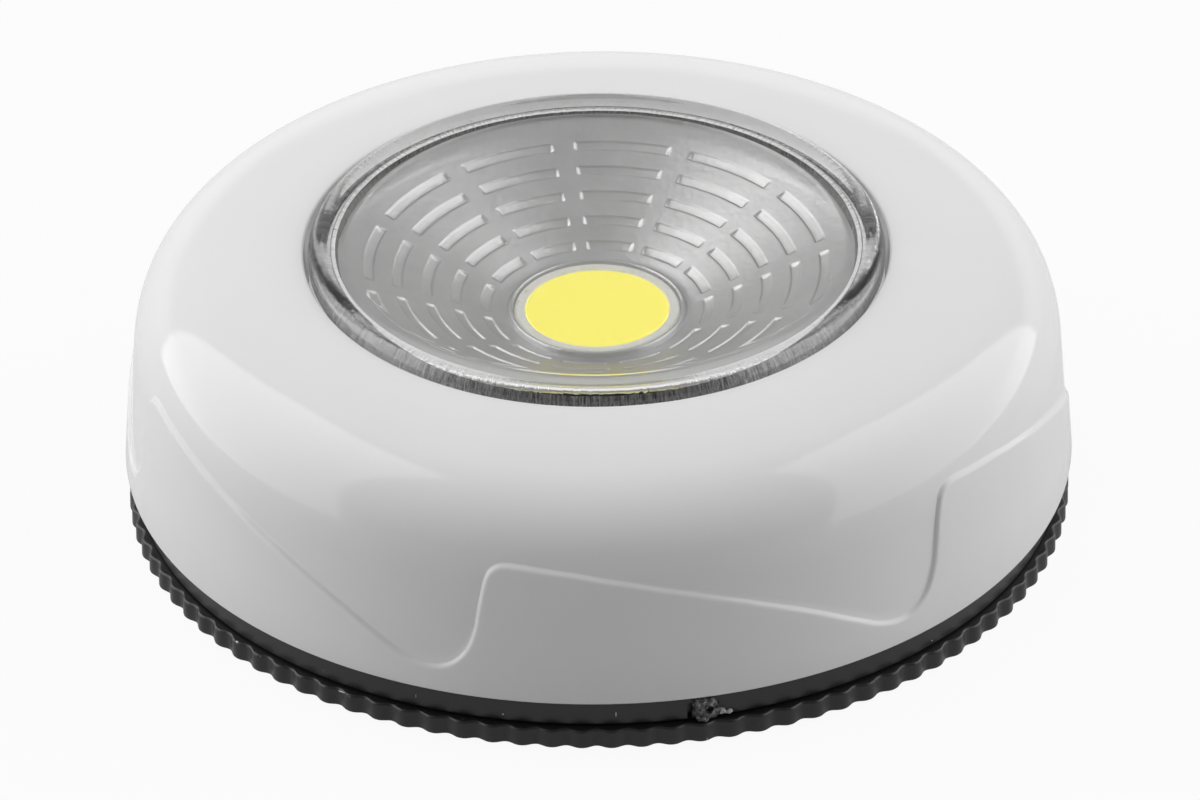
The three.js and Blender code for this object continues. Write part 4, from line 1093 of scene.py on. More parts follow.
@dataclass
class HousingShell:
    """The glossy white dome with the saw-tooth relief round its foot, in millimetres."""

    bottom: float = 4.3
    bottom_radius: float = 33.93
    wall_top: float = 13.4
    wall_top_radius: float = 33.4
    crown_radius: float = 24.9
    crown: float = 20.5
    power: float = 2.2
    top_start: float = 28.0
    lip_radius: float = 21.27
    lip_height: float = 21.05
    lip_round: float = 0.22
    opening: float = 21.05
    collar_radius: float = 22.3
    collar_bottom: float = 16.5
    ceiling: float = 19.0
    wall: float = 1.5
    relief: float = 0.27
    relief_edge: float = 0.2
    relief_top: float = 15.7
    foot_round: float = 0.16
    teeth: int = 6
    tooth_columns: int = 96
    corner_round: float = 0.45
    # Azimuth and height of the relief's edge over one tooth, from its peak to the next
    tooth: tuple[Point, ...] = (
        (-11.0, 15.1), (-7.0, 14.86), (-2.9, 14.58), (3.9, 13.8), (10.7, 12.78), (17.6, 11.5), (24.2, 9.97),
        (27.9, 8.95), (32.5, 7.5), (35.7, 6.5), (38.2, 6.12), (40.6, 6.2), (42.6, 6.9), (43.9, 7.9),
        (44.8, 9.3), (45.3, 11.2), (45.7, 12.8), (46.2, 14.2), (46.9, 14.85), (47.9, 15.08), (49.0, 15.1),
    )
    # Where the rows over the relief's edge lie, as shares of its half width, and those under it
    edge_rows: tuple[float, ...] = (-1.0, -0.72, -0.5, -0.32, -0.16, 0.0, 0.16, 0.32, 0.5, 0.72, 1.0)
    foot_rows: tuple[float, ...] = (0.0, 0.35, 0.7)
    upper_rows: int = 12
    edge_reach: float = 1.1
    edge_spread: float = 1.25
    edge_gap: float = 0.1
    edge_power: float = 2.3
    steep_weight: float = 1.8
    shoulder_rows: int = 24
    crown_rows: int = 12
    # The inside of the shell, from the shoulder down
    inner_face: tuple[Point, ...] = ((28.0, 18.4), (30.2, 17.0), (31.5, 14.9))
    foot_wall: float = 0.4
    boss_places: list[Point] = field(default_factory=lambda: four_places(27.7, 39.15))
    boss: tuple[float, float, float] = (2.6, 13.8, 18.4)
    bore: tuple[float, float, float] = (1.2, 12.5, 17.8)

    def face_radius(self, heights: np.ndarray) -> np.ndarray:
        """Radius of the plain outer face at heights up to the start of the top."""
        wall_share = (heights - self.bottom) / (self.wall_top - self.bottom)
        wall = self.bottom_radius + (self.wall_top_radius - self.bottom_radius) * wall_share
        up = np.clip((heights - self.wall_top) / (self.crown - self.wall_top), 0, 1)
        lean = (self.wall_top_radius - self.bottom_radius) / (self.wall_top - self.bottom)
        easing = lean * (self.crown - self.wall_top) * up * (1 - up) ** 2
        round_part = (1 - up**self.power) ** (1 / self.power)
        shoulder = self.crown_radius + (self.wall_top_radius - self.crown_radius) * round_part + easing
        return np.where(heights <= self.wall_top, wall, shoulder)

    def tooth_curve(self) -> tuple[np.ndarray, np.ndarray]:
        """The relief's edge over one tooth as a fine row of azimuths and heights."""
        span, spare = FULL_TURN / self.teeth, 2
        knots = np.array(self.tooth[:-1])
        row = np.concatenate([knots - (span, 0), knots, knots + (span, 0)])
        scale = math.radians(1) * self.bottom_radius
        strides = np.hypot(np.diff(row[:, 0]) * scale, np.diff(row[:, 1]))
        length, step = np.concatenate([[0], np.cumsum(strides)]), 0.05
        fine = np.arange(0, length[-1], step)
        line = np.stack([np.interp(fine, length, row[:, 0]), np.interp(fine, length, row[:, 1])])
        # The corners are rounded by a running mean along the line, taken twice
        window = np.ones(2 * round(self.corner_round / step) + 1)
        for _ in range(2):
            line = np.stack([np.convolve(part, window / window.size, mode="valid") for part in line])
        keep = (line[0] >= knots[0, 0] - spare) & (line[0] <= knots[0, 0] + span + spare)
        return line[0][keep], line[1][keep]

    def columns(self) -> np.ndarray:
        """Azimuths of one tooth's columns, closest where the edge is steep."""
        azimuths, heights = self.tooth_curve()
        start, span = self.tooth[0][0], FULL_TURN / self.teeth
        along = np.linspace(start, start + span, 2401)
        edge = np.interp(along, azimuths, heights)
        arc = np.radians(np.diff(along)) * self.bottom_radius
        length = np.concatenate([[0], np.cumsum(arc + self.steep_weight * np.abs(np.diff(edge)))])
        even = np.linspace(0, length[-1], self.tooth_columns, endpoint=False)
        return np.interp(even, length, along)

    def row_heights(self, edge: np.ndarray, slope: np.ndarray) -> np.ndarray:
        """Heights of the outer face's rows over each column.

        Args:
            edge: Height of the relief's edge at each column.
            slope: How steeply the edge climbs there.

        Returns:
            One row of heights for each column.
        """
        half = np.minimum(self.relief_edge * self.edge_spread * np.sqrt(1 + slope**2), self.edge_reach)
        foot = self.bottom + self.foot_round
        half = np.minimum(half, self.relief_top - self.edge_gap - edge)
        made = [foot + (edge - half - foot) * share for share in self.foot_rows]
        made += [edge + half * share for share in self.edge_rows]
        for i in range(self.upper_rows):
            made.append(edge + half + (self.relief_top - edge - half) * ((i + 1) / self.upper_rows))
        return np.array(made).T

    def top_rows(self) -> list[Point]:
        """Shoulder, domed top, rounded lip and the inside, the same at every azimuth."""
        span, rise = self.wall_top_radius - self.crown_radius, self.crown - self.wall_top
        start = math.asin(((self.relief_top - self.wall_top) / rise) ** (self.power / 2))
        out = (self.top_start - self.crown_radius) / span
        end = math.acos(out ** (self.power / 2))
        rows = []
        for angle in np.linspace(start, end, self.shoulder_rows + 1)[1:]:
            height = self.wall_top + rise * math.sin(angle) ** (2 / self.power)
            rows.append((float(self.face_radius(np.array([height]))[0]), height))
        slope = rise / span * out ** (self.power - 1) * (1 - out**self.power) ** (1 / self.power - 1)
        first_radius, first_height = rows[-1]
        length = first_radius - self.lip_radius
        end_slope = 2 * (self.lip_height - first_height) / length - slope
        for i in range(1, self.crown_rows + 1):
            inwards = length * i / self.crown_rows
            climb = slope * inwards + (end_slope - slope) * inwards**2 / (2 * length)
            rows.append((first_radius - inwards, first_height + climb))
        middle = (self.lip_radius, self.lip_height - self.lip_round)
        rows += corner(middle, self.lip_round, 90, 180, 6)[1:]
        rows += [
            (self.opening, self.collar_bottom),
            (self.collar_radius, self.collar_bottom),
            (self.collar_radius, self.ceiling),
            (self.crown_radius, self.ceiling),
            *self.inner_face,
            (self.wall_top_radius - self.wall, self.wall_top - self.wall / 2),
            (self.bottom_radius - self.wall, self.bottom),
            (self.bottom_radius - self.foot_wall, self.bottom),
        ]
        return rows

    def build(self) -> Object:
        """Turns the dome, draws the relief into its wall and joins the screw bosses on."""
        heights = self.row_heights(np.array([10.0]), np.array([0.0]))[0]
        foot_middle = (self.bottom_radius - self.foot_round, self.bottom + self.foot_round)
        foot = corner(foot_middle, self.foot_round, -90, 0, 4)[:-1]
        plain = [*foot, *zip(self.face_radius(heights), heights), *self.top_rows()]
        plain = [(float(radius), float(height)) for radius, height in plain]
        steps = self.teeth * self.tooth_columns
        piece = turned("dome_shell", plain, steps)
        step, point = grid_places(piece, plain, steps)
        azimuth_row = np.concatenate([self.columns() + FULL_TURN / self.teeth * i for i in range(self.teeth)])
        radii, tall = self.relief_places(plain, len(foot), len(heights), azimuth_row)
        move_to(piece, radii[step, point], azimuth_row[step], tall[step, point])
        self.add_bosses(piece)
        return hand_in(piece, Body.HOUSING, Slot.WHITE_SHELL, WHITE_ABS, "housing_shell", smooth=40)

    def relief_places(
        self, plain: Outline, foot: int, count: int, azimuths: np.ndarray,
    ) -> tuple[np.ndarray, np.ndarray]:
        """Places of all rows over all columns once the relief is drawn in.

        Args:
            plain: The outline that the dome was turned from.
            foot: How many of its points round the lower edge.
            count: How many of its points lie on the outer face.
            azimuths: The columns' azimuths.

        Returns:
            Radii and heights, one row of them for each column.
        """
        along, edge = self.tooth_curve()
        span = FULL_TURN / self.teeth
        local = (azimuths - self.tooth[0][0]) % span + self.tooth[0][0]
        heights = np.interp(local, along, edge)
        scale = math.radians(1) * self.bottom_radius
        near = 0.05
        climb = np.interp(local + near, along, edge) - np.interp(local - near, along, edge)
        slope = climb / (2 * near * scale)
        rows = self.row_heights(heights, slope)
        signed = np.empty_like(rows)
        for i, place in enumerate(local):
            away = np.hypot((place - along)[None, :] * scale, rows[i][:, None] - edge[None, :]).min(axis=1)
            signed[i] = np.where(rows[i] > heights[i], away, -away)
        share = np.clip(0.5 - signed / (2 * self.relief_edge), 0, 1)
        # A crisp inner corner at the top of the step and a broad round below it
        proud = self.relief * (1 - (1 - share) ** self.edge_power)
        radii, tall = (np.tile(part, (len(azimuths), 1)) for part in np.array(plain).T)
        radii[:, :foot] += self.relief
        radii[:, foot : foot + count] = self.face_radius(rows) + proud
        tall[:, foot : foot + count] = rows
        return radii, tall

    def add_bosses(self, piece: Object) -> None:
        """Joins the four screw bosses on and bores them."""
        combine(piece, [rod(*self.boss, place) for place in self.boss_places], "UNION")
        combine(piece, [rod(*self.bore, place, 24) for place in self.boss_places], "DIFFERENCE")


@dataclass
class PushHead:
    """What is pushed in: the clear cap, the reflector and the LED under it, in millimetres."""

    lens_radius: float = 20.75
    lens_bottom: float = 16.2
    # The cap's underside: a rib with two slanting sides that sits in a groove of the reflector
    rib_inner: float = 19.3
    rib_foot: Point = (19.95, 19.8)
    rib_half: float = 0.1
    rib_outer: float = 20.4
    rib_gap: float = 0.07
    window_top: float = 21.5
    window: float = 0.85
    rim_top: float = 21.85
    rim_outer: float = 19.72
    rim_shoulder: float = 20.75
    rim_power: float = 0.9
    # The window's edge, from the round rim inwards: a straight slope down, then a shallow moat
    edge_curve: tuple[Point, ...] = (
        (19.72, 21.85), (19.6, 21.845), (19.5, 21.83), (19.4, 21.805), (19.28, 21.775), (19.0, 21.708),
        (18.6, 21.612), (18.25, 21.53), (18.1, 21.498), (18.02, 21.483), (17.95, 21.474), (17.88, 21.47),
        (17.8, 21.473), (17.72, 21.483), (17.64, 21.493), (17.54, 21.499), (17.4, 21.5),
    )
    board_top: float = 15.15
    hole_radius: float = 6.25
    hole_edge: float = 6.04
    slope: float = 21.2
    skirt: float = 0.8
    flange_radius: float = 20.7
    upstand_radius: float = 18.95
    upstand_top: float = 20.62
    seat_drop: float = 0.15
    seat_from: float = 20.13
    groove_play: float = 0.06
    near: float = 0.05
    sheet: float = 0.6
    outer_rows: tuple[float, ...] = (18.3, 17.7, 17.2)
    lip_radius: float = 6.9
    lip_rise: float = 0.55
    lip_round: float = 0.17
    # The hollow curve from the bowl up to its lip: radii, and how far it stands over the bowl's face
    lip_curve: tuple[Point, ...] = ((6.9, 0.0), (6.7, 0.03), (6.52, 0.11))
    lip_side: Point = (6.4, 0.16)
    boss_reach: float = 14.0
    boss: tuple[float, float, float] = (1.7, 16.2, 19.5)
    bore: tuple[float, float, float] = (0.9, 15.2, 17.45)
    ring_first: float = 8.0
    ring_step: float = 2.1
    rings: int = 5
    bars: int = 12
    bar_turn: float = 25.2
    bar_width: float = 0.88
    bar_depth: float = 0.14
    bar_lip: float = 0.13
    bar_outer: float = 0.62
    bar_inner: float = 0.17
    bar_end: float = 0.34
    bar_start: float = -6.9
    bar_columns: int = 30
    # Rows across a bar, columns over its plain middle, and columns at its end counted back from it
    bar_rows: tuple[float, ...] = (
        0.52, 0.44, 0.4, 0.36, 0.31, 0.23, 0.16, 0.09, 0.02,
        -0.05, -0.12, -0.2, -0.25, -0.28, -0.31, -0.34, -0.37, -0.41, -0.52, -0.8,
    )
    middle_columns: tuple[float, ...] = (-6.3, -5.1, -3.8, -2.5, -1.3, 0.0, 1.3, 2.5, 3.8, 5.1, 6.3)
    end_columns: tuple[float, ...] = (2.6, 2.0, 1.5, 1.1, 0.8, 0.5, 0.25, 0.0, -0.5)
    dam_radius: float = 5.95
    dam_width: float = 0.79
    dam_height: float = 0.42
    dam_rounds: Point = (0.3, 0.2)
    dam_shoulder: float = 0.26
    gel_height: float = 0.3
    gel_gap: float = 0.05
    # How the gel's surface sinks inwards from its edge: how far in, and how far down
    gel_sink: tuple[Point, ...] = ((0.15, 0.05), (0.6, 0.09))
    gel_hollow: float = 0.1

    def lens(self) -> Object:
        """The cap: a thick rim with a round top, and a flat window a little below it."""
        window_bottom = self.window_top - self.window
        out, up = self.lens_radius - self.rim_outer, self.rim_top - self.rim_shoulder
        foot_radius, foot = self.rib_foot
        rim = []
        for turn in np.radians(np.linspace(0, 90, 10)):
            across, rise = math.cos(turn) ** self.rim_power, math.sin(turn) ** self.rim_power
            rim.append((self.rim_outer + out * across, self.rim_shoulder + up * rise))
        outline = [
            (0.0, window_bottom),
            (self.rib_inner, window_bottom),
            (foot_radius - self.rib_half, foot),
            (foot_radius + self.rib_half, foot),
            (self.lens_radius, self.rib_outer),
            *rim[:-1],
            *self.edge_curve,
            (0.0, self.window_top),
        ]
        piece = turned("clear_cap", outline, 256)
        return hand_in(piece, Body.HEAD, Slot.CLEAR_LENS, LENS_STYRENE, "lens")

    def bar_relief(self, radii: np.ndarray, azimuths: np.ndarray) -> np.ndarray:
        """How far the pressed bars lie below the bowl's plain face at given places."""
        ring = np.clip(np.rint((radii - self.ring_first) / self.ring_step), 0, self.rings - 1)
        middle = self.ring_first + ring * self.ring_step
        pitch = FULL_TURN / self.bars
        off = (azimuths - 180 - self.bar_start + pitch / 2) % pitch - pitch / 2
        outwards = (radii - middle) / math.cos(math.radians(self.slope))
        # The outer side drops over a lip and slopes on to the deepest line; inner side and ends are steep
        outer = self.bar_width / 2 - outwards
        depth = self.bar_depth * (0.5 * ease(outer, self.bar_lip) + 0.5 * ease(outer, self.bar_outer))
        depth = depth * ease(self.bar_width / 2 + outwards, self.bar_inner)
        return -depth * ease(np.radians(self.bar_turn / 2 - np.abs(off)) * middle, self.bar_end)

    def face(self, radius: float) -> float:
        """Height of the bowl's plain face at a radius."""
        return self.board_top + (radius - self.hole_radius) * math.tan(math.radians(self.slope))

    def bowl_rows(self) -> list[float]:
        """Radii of the face's rows, close together on the rings of bars."""
        rows = list(self.outer_rows)
        for ring in reversed(range(self.rings)):
            rows += [self.ring_first + ring * self.ring_step + offset for offset in self.bar_rows]
        return [radius for radius in rows if radius > self.lip_radius + 0.1]

    def reflector(self) -> Object:
        """The bowl, its bars pressed down out of the turned cone."""
        skirt_inner = self.flange_radius - self.skirt
        groove = self.rib_foot[1] - self.rib_gap
        under = groove - self.sheet
        climb = math.tan(math.radians(self.slope))
        seat = self.hole_radius + self.sheet / math.cos(math.radians(self.slope)) / climb
        lip_top, lip_round = self.board_top + self.lip_rise, self.lip_round
        foot_radius, groove_half = self.rib_foot[0], self.rib_half
        face = [(radius, self.face(radius)) for radius in self.bowl_rows()]
        outline = [
            (self.hole_edge, self.board_top),
            (seat, self.board_top),
            (seat + (under - self.board_top) / climb, under),
            (skirt_inner, under),
            (skirt_inner, self.lens_bottom),
            (self.flange_radius, self.lens_bottom),
            (self.flange_radius, self.rib_outer - self.seat_drop),
            (foot_radius + 2 * groove_half, groove),
            (foot_radius - groove_half, groove),
            (self.rib_inner - self.groove_play, self.upstand_top),
            (self.upstand_radius, self.upstand_top),
            (self.upstand_radius, self.face(self.upstand_radius)),
            *face,
            *((radius, self.face(radius) + rise) for radius, rise in self.lip_curve),
            (self.lip_side[0], lip_top - self.lip_side[1]),
            *corner((self.hole_edge + lip_round, lip_top - lip_round), lip_round, 45, 180, 8),
        ]
        steps = self.bars * self.bar_columns
        piece = turned("pressed_reflector", outline, steps)
        step, point = grid_places(piece, outline, steps)
        azimuth = self.bar_azimuths()[step]
        radii, heights = np.array(outline).T[:, point]
        first = outline.index(face[0])
        on_face = np.isin(point, np.arange(first, first + len(face)))
        heights = heights + np.where(on_face, self.bar_relief(radii, azimuth), 0)
        move_to(piece, radii, azimuth, heights)
        self.add_screw_bosses(piece)
        hand_in(piece, Body.HEAD, Slot.SILVERED, REFLECTOR_METAL, "reflector", smooth=50)
        self.paint_groove_glow_and_shade(piece)
        return piece

    def paint_groove_glow_and_shade(self, piece: Object) -> None:
        """Gives the upstand's top, the flange's edge and the groove's outer side a white finish with a painted glow,
        and the upstand's inner wall and the groove's inner side a near-black streaked finish that is painted shade.
        """
        for place, finish in enumerate((SEAT_PAINTED_GLOW, UPSTAND_PAINTED_SHADE), 1):
            piece.data.materials.append(finish.material())
            with editing(piece, "FACE"):
                pick = bmesh.from_edit_mesh(piece.data)
                for face in pick.faces:
                    middle = face.calc_center_median() / MM
                    radius = math.hypot(middle.x, middle.y)
                    in_groove = radius > self.rib_inner - self.near and face.normal.z > 0.1
                    # White with a painted glow: the upstand's top, the flange's edge and the groove's outer side
                    if place == 1:
                        topmost = middle.z > self.upstand_top - 0.01
                        outermost = radius > self.flange_radius - self.near
                        face.select_set(topmost or outermost or in_groove and radius > self.seat_from)
                    # Near black as painted shade: the upstand's inner wall and the groove's inner side
                    else:
                        inside = abs(radius - self.upstand_radius) < 0.02 and middle.z > self.face(radius)
                        face.select_set(inside or in_groove and radius < self.seat_from)
                bmesh.update_edit_mesh(piece.data)
                piece.active_material_index = place
                bpy.ops.object.material_slot_assign()

    def bar_azimuths(self) -> np.ndarray:
        """Azimuths of the bowl's columns, closest at the ends of the bars."""
        pitch = FULL_TURN / self.bars
        end = [self.bar_turn / 2 - away for away in self.end_columns]
        columns = sorted([*(-value for value in end), *self.middle_columns, *end, pitch / 2])
        columns = np.array(columns[: self.bar_columns])
        return np.concatenate([180 + self.bar_start + bar * pitch + columns for bar in range(self.bars)])

    def add_screw_bosses(self, piece: Object) -> None:
        """Joins three screw bosses under the bowl and bores them."""
        turns = [math.radians(90 + 120 * i) for i in range(3)]
        places = [(self.boss_reach * math.cos(turn), self.boss_reach * math.sin(turn)) for turn in turns]
        bosses, wide, high = [], 19.0, 21.0
        # Their tops follow the bowl's slope, inside the sheet
        slope = [(0.0, self.face(0.0)), (wide, self.face(wide)), (wide, high), (0.0, high)]
        slope = [(radius, height - self.sheet / 2) for radius, height in slope]
        for place in places:
            boss = rod(*self.boss, place, 32)
            combine(boss, [turned("slope", slope, 96)], "DIFFERENCE")
            bosses.append(boss)
        combine(piece, bosses, "UNION")
        combine(piece, [rod(*self.bore, place, 24) for place in places], "DIFFERENCE")

    def led(self) -> list[Object]:
        """The silicone dam and the phosphor gel inside it."""
        inner, top = self.dam_radius - self.dam_width, self.board_top + self.dam_height
        outer_round, inner_round = self.dam_rounds
        dam_outline = [
            (inner, self.board_top),
            (self.dam_radius, self.board_top),
            *corner((self.dam_radius - outer_round, top - self.dam_shoulder), outer_round, 0, 80, 6),
            *corner((inner + inner_round, top - inner_round), inner_round, 100, 180, 6),
        ]
        dam_outline = [(radius, min(height, top)) for radius, height in dam_outline]
        gel_radius, gel_top = inner - self.gel_gap, self.board_top + self.gel_height
        gel_outline = [
            (0.0, self.board_top),
            (gel_radius, self.board_top),
            (gel_radius, gel_top),
            *((gel_radius - inwards, gel_top - down) for inwards, down in self.gel_sink),
            (0.0, gel_top - self.gel_hollow),
        ]
        dam = turned("silicone_dam", dam_outline, 128)
        gel = turned("phosphor_gel", gel_outline, 128)
        return [
            hand_in(dam, Body.HEAD, Slot.SILICONE, DAM_SILICONE, "cob_dam"),
            hand_in(gel, Body.HEAD, Slot.PHOSPHOR, LED_PHOSPHOR, "cob_phosphor"),
        ]

    def build(self) -> None:
        """Makes the cap, the bowl and the LED."""
        self.lens()
        self.reflector()
        self.led()


@dataclass
class Springs:
    """Return springs round the guide posts, in millimetres."""

    mean_radius: float = 1.65
    wire_radius: float = 0.22
    turns: float = 3.0
    travel: float = 1.2
    turn_points: int = 16
    post_places: list[Point] = field(default_factory=lambda: four_places(21.6, 24.3))

    def coil(self, bottom: float, top: float) -> list[tuple[float, float, float]]:
        """Centre points of a spring wound upwards between two heights."""
        count = int(self.turns * self.turn_points)
        points = []
        for i in range(count + 1):
            share = i / count
            turn = math.radians(share * self.turns * FULL_TURN)
            across, back = self.mean_radius * math.cos(turn), self.mean_radius * math.sin(turn)
            points.append((across, back, bottom + (top - bottom) * share))
        return points

    def build(self) -> None:
        """Four springs: one is wound, the others are copies of it."""
        low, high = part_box("return_spring_1")
        bottom, top = low[2] / MM, high[2] / MM
        centres = self.coil(bottom + self.wire_radius, top - self.wire_radius)
        first = wire("return_coil_1", centres, self.wire_radius)
        for number, place in enumerate(self.post_places, 1):
            piece = first if number == 4 else first.copy()
            if number != 4:
                piece.data = first.data.copy()
                bpy.context.scene.collection.objects.link(piece)
            piece.name = piece.data.name = f"return_coil_{number}"
            piece.location = (place[0] * MM, place[1] * MM, 0)
            settle(piece)
            hand_in(piece, Body.HOUSING, Slot.STEEL, ZINC_STEEL, f"return_spring_{number}", smooth=60)
            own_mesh(piece)


@dataclass
class LeadTails:
    """The loose ends of the two LED leads, in millimetres."""

    radius: float = 0.45
    travel: float = 1.2
    points: tuple[tuple[float, float, float], ...] = (
        (5.5, -11.55, 11.6), (5.5, -7.25, 11.15), (5.5, -3.4, 12.05), (5.5, -2.5, 14.05),
    )

    def build(self) -> None:
        """Makes the red and the black tail."""
        red, black = (Slot.WIRE_RED, RED_SLEEVE), (Slot.WIRE_BLACK, BLACK_SLEEVE)
        for pole, side, (slot, finish) in (("plus", Side.PLUS, red), ("minus", Side.MINUS, black)):
            node = f"lead_tail_{pole}"
            mirrored = [(side.value * x, y, z) for x, y, z in self.points]
            piece = wire(f"loose_lead_{pole}", mirrored, self.radius)
            hand_in(piece, Body.HOUSING, slot, finish, node, smooth=60)
            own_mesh(piece)


@dataclass
class FittedParts:
    """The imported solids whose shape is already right, each given its finish."""

    finishes: dict[str, Finish] = field(default_factory=lambda: {
        "cell_left": CELL_SLEEVE, "cell_middle": CELL_SLEEVE, "cell_right": CELL_SLEEVE,
        "cell_spring": NICKEL, "contact_": NICKEL, "chassis_screw": ZINC_STEEL, "reflector_screw": ZINC_STEEL,
        "switch_case": SWITCH_BODY, "switch_plunger": SWITCH_BODY, "switch_tag": NICKEL,
        "lead_battery": RED_SLEEVE, "lead_switch": RED_SLEEVE, "lead_return": BLACK_SLEEVE,
        "cob_board": BOARD_MASK, "limit_resistor": CERAMIC, "head_carrier": GREY_PLASTIC,
    })

    def build(self) -> None:
        """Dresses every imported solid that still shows."""
        for name, node in sorted(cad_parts.items()):
            if node.hide_render:
                continue
            finish = next(found for start, found in self.finishes.items() if name.startswith(start))
            finish.on(node)
            log.info("%s: kept, %s", name, finish.name)


# ---------------------------------------------------------------- studio


@dataclass
class Studio:
    """Floor, lamps, surroundings and camera."""

    elevation: float = 32.448
    roll: float = 0.631
    distance: float = 1.3
    target_height: float = 12.4
    slide: tuple[float, float] = (0.17, -3.60)
    focal: float = 541.2
    floor_size: float = 8.0
    lamp_scale: float = 0.8
    ceiling_light: float = 0.39
    back_light: float = 0.36
    left_light: float = 0.13
    backdrop_top: float = 0.35
    backdrop_rise: float = 0.15

    def camera(self) -> None:
        """The camera at the photograph's angle."""
        tilt, turn = math.radians(self.elevation), math.radians(self.roll)
        back = Vector((0, -math.cos(tilt), math.sin(tilt)))
        right, up = Vector((1, 0, 0)), Vector((0, math.sin(tilt), math.cos(tilt)))
        across = right * math.cos(turn) - up * math.sin(turn)
        upwards = right * math.sin(turn) + up * math.cos(turn)
        place = Vector((0, 0, self.target_height * MM)) + back * self.distance
        place += across * self.slide[0] * MM + upwards * self.slide[1] * MM
        lens = bpy.data.cameras.new("camera")
        lens.lens, lens.sensor_width = self.focal, 36.0
        lens.clip_start, lens.clip_end = 0.01, 50.0
        camera = bpy.data.objects.new("camera", lens)
        bpy.context.scene.collection.objects.link(camera)
        camera.matrix_world = Matrix.Translation(place) @ Matrix((across, upwards, back)).transposed().to_4x4()
        bpy.context.scene.camera = camera

    def floor(self) -> None:
        """A pale floor that the camera sees as white, with a faint shadow."""
        deselect_all()
        bpy.ops.mesh.primitive_plane_add(size=self.floor_size, location=(0, 0, 0))
        floor = bpy.context.object
        floor.name = "floor"
        material = bpy.data.materials.new("pale_floor")
        material.use_nodes = True
        tree = material.node_tree
        tree.nodes.clear()
        rays = add_node(tree, "ShaderNodeLightPath")
        mirrored = add_node(
            tree, "ShaderNodeMath", {"operation": "MAXIMUM"}, None,
            {0: rays.outputs["Is Glossy Ray"], 1: rays.outputs["Is Transmission Ray"]},
        )
        # Metal, gloss and glass see the floor bright behind the light and in shade on the camera's side
        place = add_node(tree, "ShaderNodeTexCoord")
        parts = add_node(tree, "ShaderNodeSeparateXYZ", links={0: place.outputs["Object"]})
        shade = add_node(
            tree, "ShaderNodeMapRange", values={"From Min": -0.2, "From Max": 0.4, "To Min": 0.25, "To Max": 1.0},
            links={"Value": parts.outputs[1]},
        )
        gloss = add_node(
            tree, "ShaderNodeMath", {"operation": "MULTIPLY"}, None, {0: mirrored.outputs[0], 1: shade.outputs["Result"]},
        )
        share = add_node(
            tree, "ShaderNodeMath", {"operation": "MAXIMUM"}, None, {0: rays.outputs["Is Camera Ray"], 1: gloss.outputs[0]},
        )
        matt = add_node(tree, "ShaderNodeBsdfDiffuse", values={"Color": linear("#B8B8B8")})
        white = add_node(tree, "ShaderNodeEmission", values={"Color": (1, 1, 1, 1), "Strength": 1.0})
        faint = add_node(tree, "ShaderNodeMixShader", None, {0: 0.94}, {1: matt.outputs[0], 2: white.outputs[0]})
        mixed = add_node(tree, "ShaderNodeMixShader", None, None, {0: share.outputs[0], 1: matt.outputs[0], 2: faint.outputs[0]})
        add_node(tree, "ShaderNodeOutputMaterial", links={"Surface": mixed.outputs[0]})
        floor.data.materials.append(material)

    def lamp(self, name: str, middle: Vector, along: Vector, up: Vector, size: tuple[float, float], radiance: float) -> None:
        """A rectangular softbox.

        Args:
            name: Its name.
            middle: Its middle, in metres.
            along: The direction of its width.
            up: The direction of its height.
            size: Width and height in metres.
            radiance: How bright its face is, 1 being white.
        """
        data = bpy.data.lights.new(name, "AREA")
        data.shape = "RECTANGLE"
        data.size, data.size_y = size
        data.energy = radiance * math.pi * size[0] * size[1]
        lamp = bpy.data.objects.new(name, data)
        bpy.context.scene.collection.objects.link(lamp)
        back = along.cross(up)
        if back.dot(middle) < 0:
            along, back = -along, -back
        lamp.matrix_world = Matrix.Translation(middle) @ Matrix((along, up, back)).transposed().to_4x4()

    def lamps(self) -> None:
        """Two tall softboxes that lean beside the table."""
        scale = self.lamp_scale
        left = Vector((-0.862, 0.348, 0.656)) * scale
        self.lamp("left_softbox", left, Vector((-0.077, 0.954, -0.291)), Vector((0.101, 0.298, 0.949)), (1.261 * scale, 2.9 * scale), 2.25)
        right = Vector((0.926, 0.443, 1.37)) * scale
        self.lamp("right_softbox", right, Vector((0.118, 0.964, -0.239)), Vector((0.151, 0.22, 0.964)), (1.208 * scale, 3.305 * scale), 2.0)

    def surroundings(self) -> None:
        """White to the camera; for light and gloss, bright behind and above and dark on the camera's side."""
        world = bpy.data.worlds.new("studio")
        bpy.context.scene.world = world
        world.use_nodes = True
        tree = world.node_tree
        tree.nodes.clear()
        rays = add_node(tree, "ShaderNodeLightPath")
        direction = add_node(tree, "ShaderNodeTexCoord")
        parts = add_node(tree, "ShaderNodeSeparateXYZ", links={0: direction.outputs["Generated"]})
        above = add_node(tree, "ShaderNodeMath", {"operation": "MULTIPLY", "use_clamp": True}, {1: self.ceiling_light}, {0: parts.outputs[2]})
        behind = add_node(tree, "ShaderNodeMath", {"operation": "MULTIPLY", "use_clamp": True}, {1: self.back_light}, {0: parts.outputs[1]})
        leftwards = add_node(tree, "ShaderNodeMath", {"operation": "MULTIPLY", "use_clamp": True}, {1: -self.left_light}, {0: parts.outputs[0]})
        two = add_node(tree, "ShaderNodeMath", {"operation": "ADD"}, None, {0: above.outputs[0], 1: behind.outputs[0]})
        room = add_node(tree, "ShaderNodeMath", {"operation": "ADD"}, None, {0: two.outputs[0], 1: leftwards.outputs[0]})
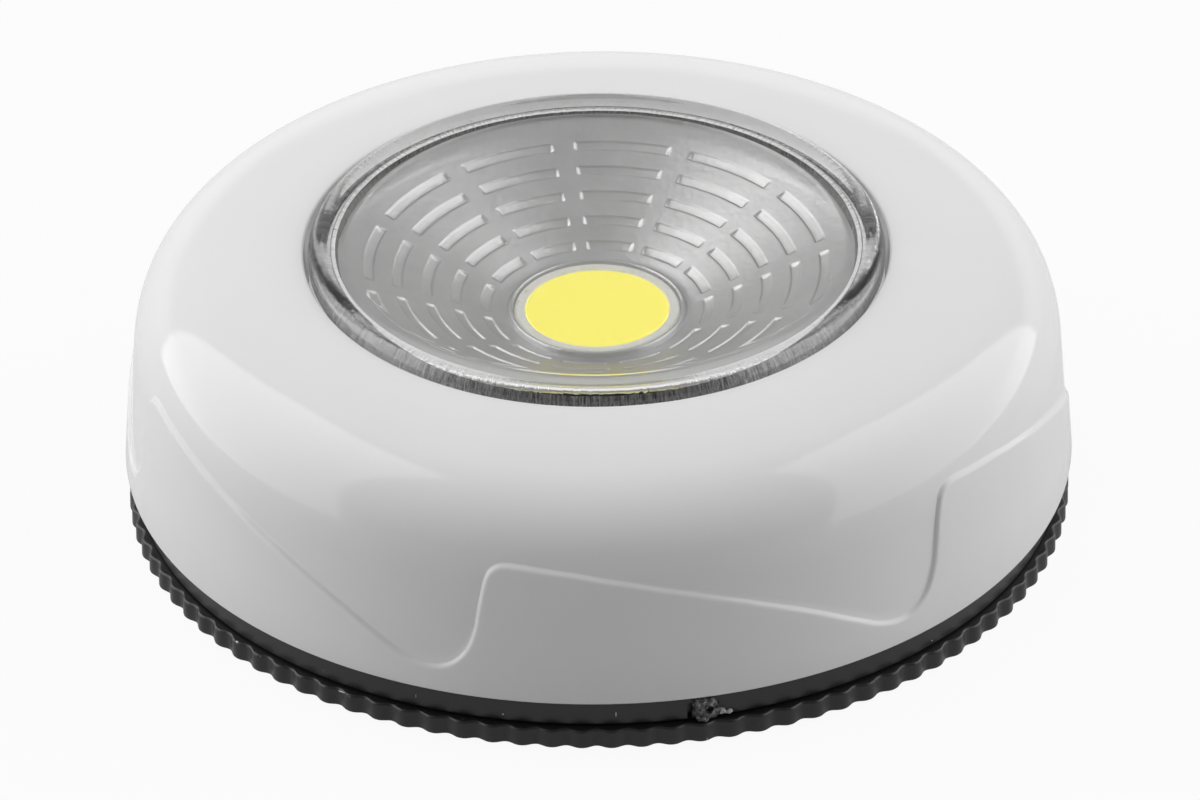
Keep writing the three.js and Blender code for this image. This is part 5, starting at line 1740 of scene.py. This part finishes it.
        # Glass and gloss also see the pale backdrop behind the light, gloss up to a little above the horizon only
        lowered = add_node(
            tree, "ShaderNodeMath", {"operation": "MULTIPLY_ADD"}, {1: -self.backdrop_rise},
            {0: rays.outputs["Is Transmission Ray"], 2: parts.outputs[2]},
        )
        low = add_node(
            tree, "ShaderNodeMapRange", {"interpolation_type": "SMOOTHSTEP"},
            {"From Min": self.backdrop_top, "From Max": self.backdrop_top - 0.2, "To Min": 0.0, "To Max": 1.0},
            {"Value": lowered.outputs[0]},
        )
        far = add_node(
            tree, "ShaderNodeMapRange", {"interpolation_type": "SMOOTHSTEP"},
            {"From Min": 0.1, "From Max": 0.6, "To Min": 0.0, "To Max": 1.0}, {"Value": parts.outputs[1]},
        )
        strip = add_node(tree, "ShaderNodeMath", {"operation": "MULTIPLY"}, None, {0: low.outputs["Result"], 1: far.outputs["Result"]})
        mirrored = add_node(
            tree, "ShaderNodeMath", {"operation": "MAXIMUM"}, None,
            {0: rays.outputs["Is Glossy Ray"], 1: rays.outputs["Is Transmission Ray"]},
        )
        pale = add_node(tree, "ShaderNodeMath", {"operation": "MULTIPLY"}, None, {0: strip.outputs[0], 1: mirrored.outputs[0]})
        both = add_node(tree, "ShaderNodeMath", {"operation": "MAXIMUM"}, None, {0: room.outputs[0], 1: pale.outputs[0]})
        dim = add_node(tree, "ShaderNodeBackground", values={"Color": (1, 1, 1, 1)}, links={"Strength": both.outputs[0]})
        white = add_node(tree, "ShaderNodeBackground", values={"Color": (1, 1, 1, 1), "Strength": 1.0})
        mixed = add_node(tree, "ShaderNodeMixShader", None, None, {0: rays.outputs["Is Camera Ray"], 1: dim.outputs[0], 2: white.outputs[0]})
        add_node(tree, "ShaderNodeOutputWorld", links={"Surface": mixed.outputs[0]})

    def build(self) -> None:
        """Sets everything up round the light."""
        self.camera()
        self.floor()
        self.lamps()
        self.surroundings()
        bpy.context.scene.view_settings.view_transform = "Standard"


def main() -> None:
    """Builds the studio, then the light from its base up."""
    Studio().build()
    Base().build()
    BatteryChassis().build()
    TornGate().build()
    RimMarks().build()
    HousingShell().build()
    PushHead().build()
    Springs().build()
    LeadTails().build()
    FittedParts().build()


if __name__ == "__main__":
    main()
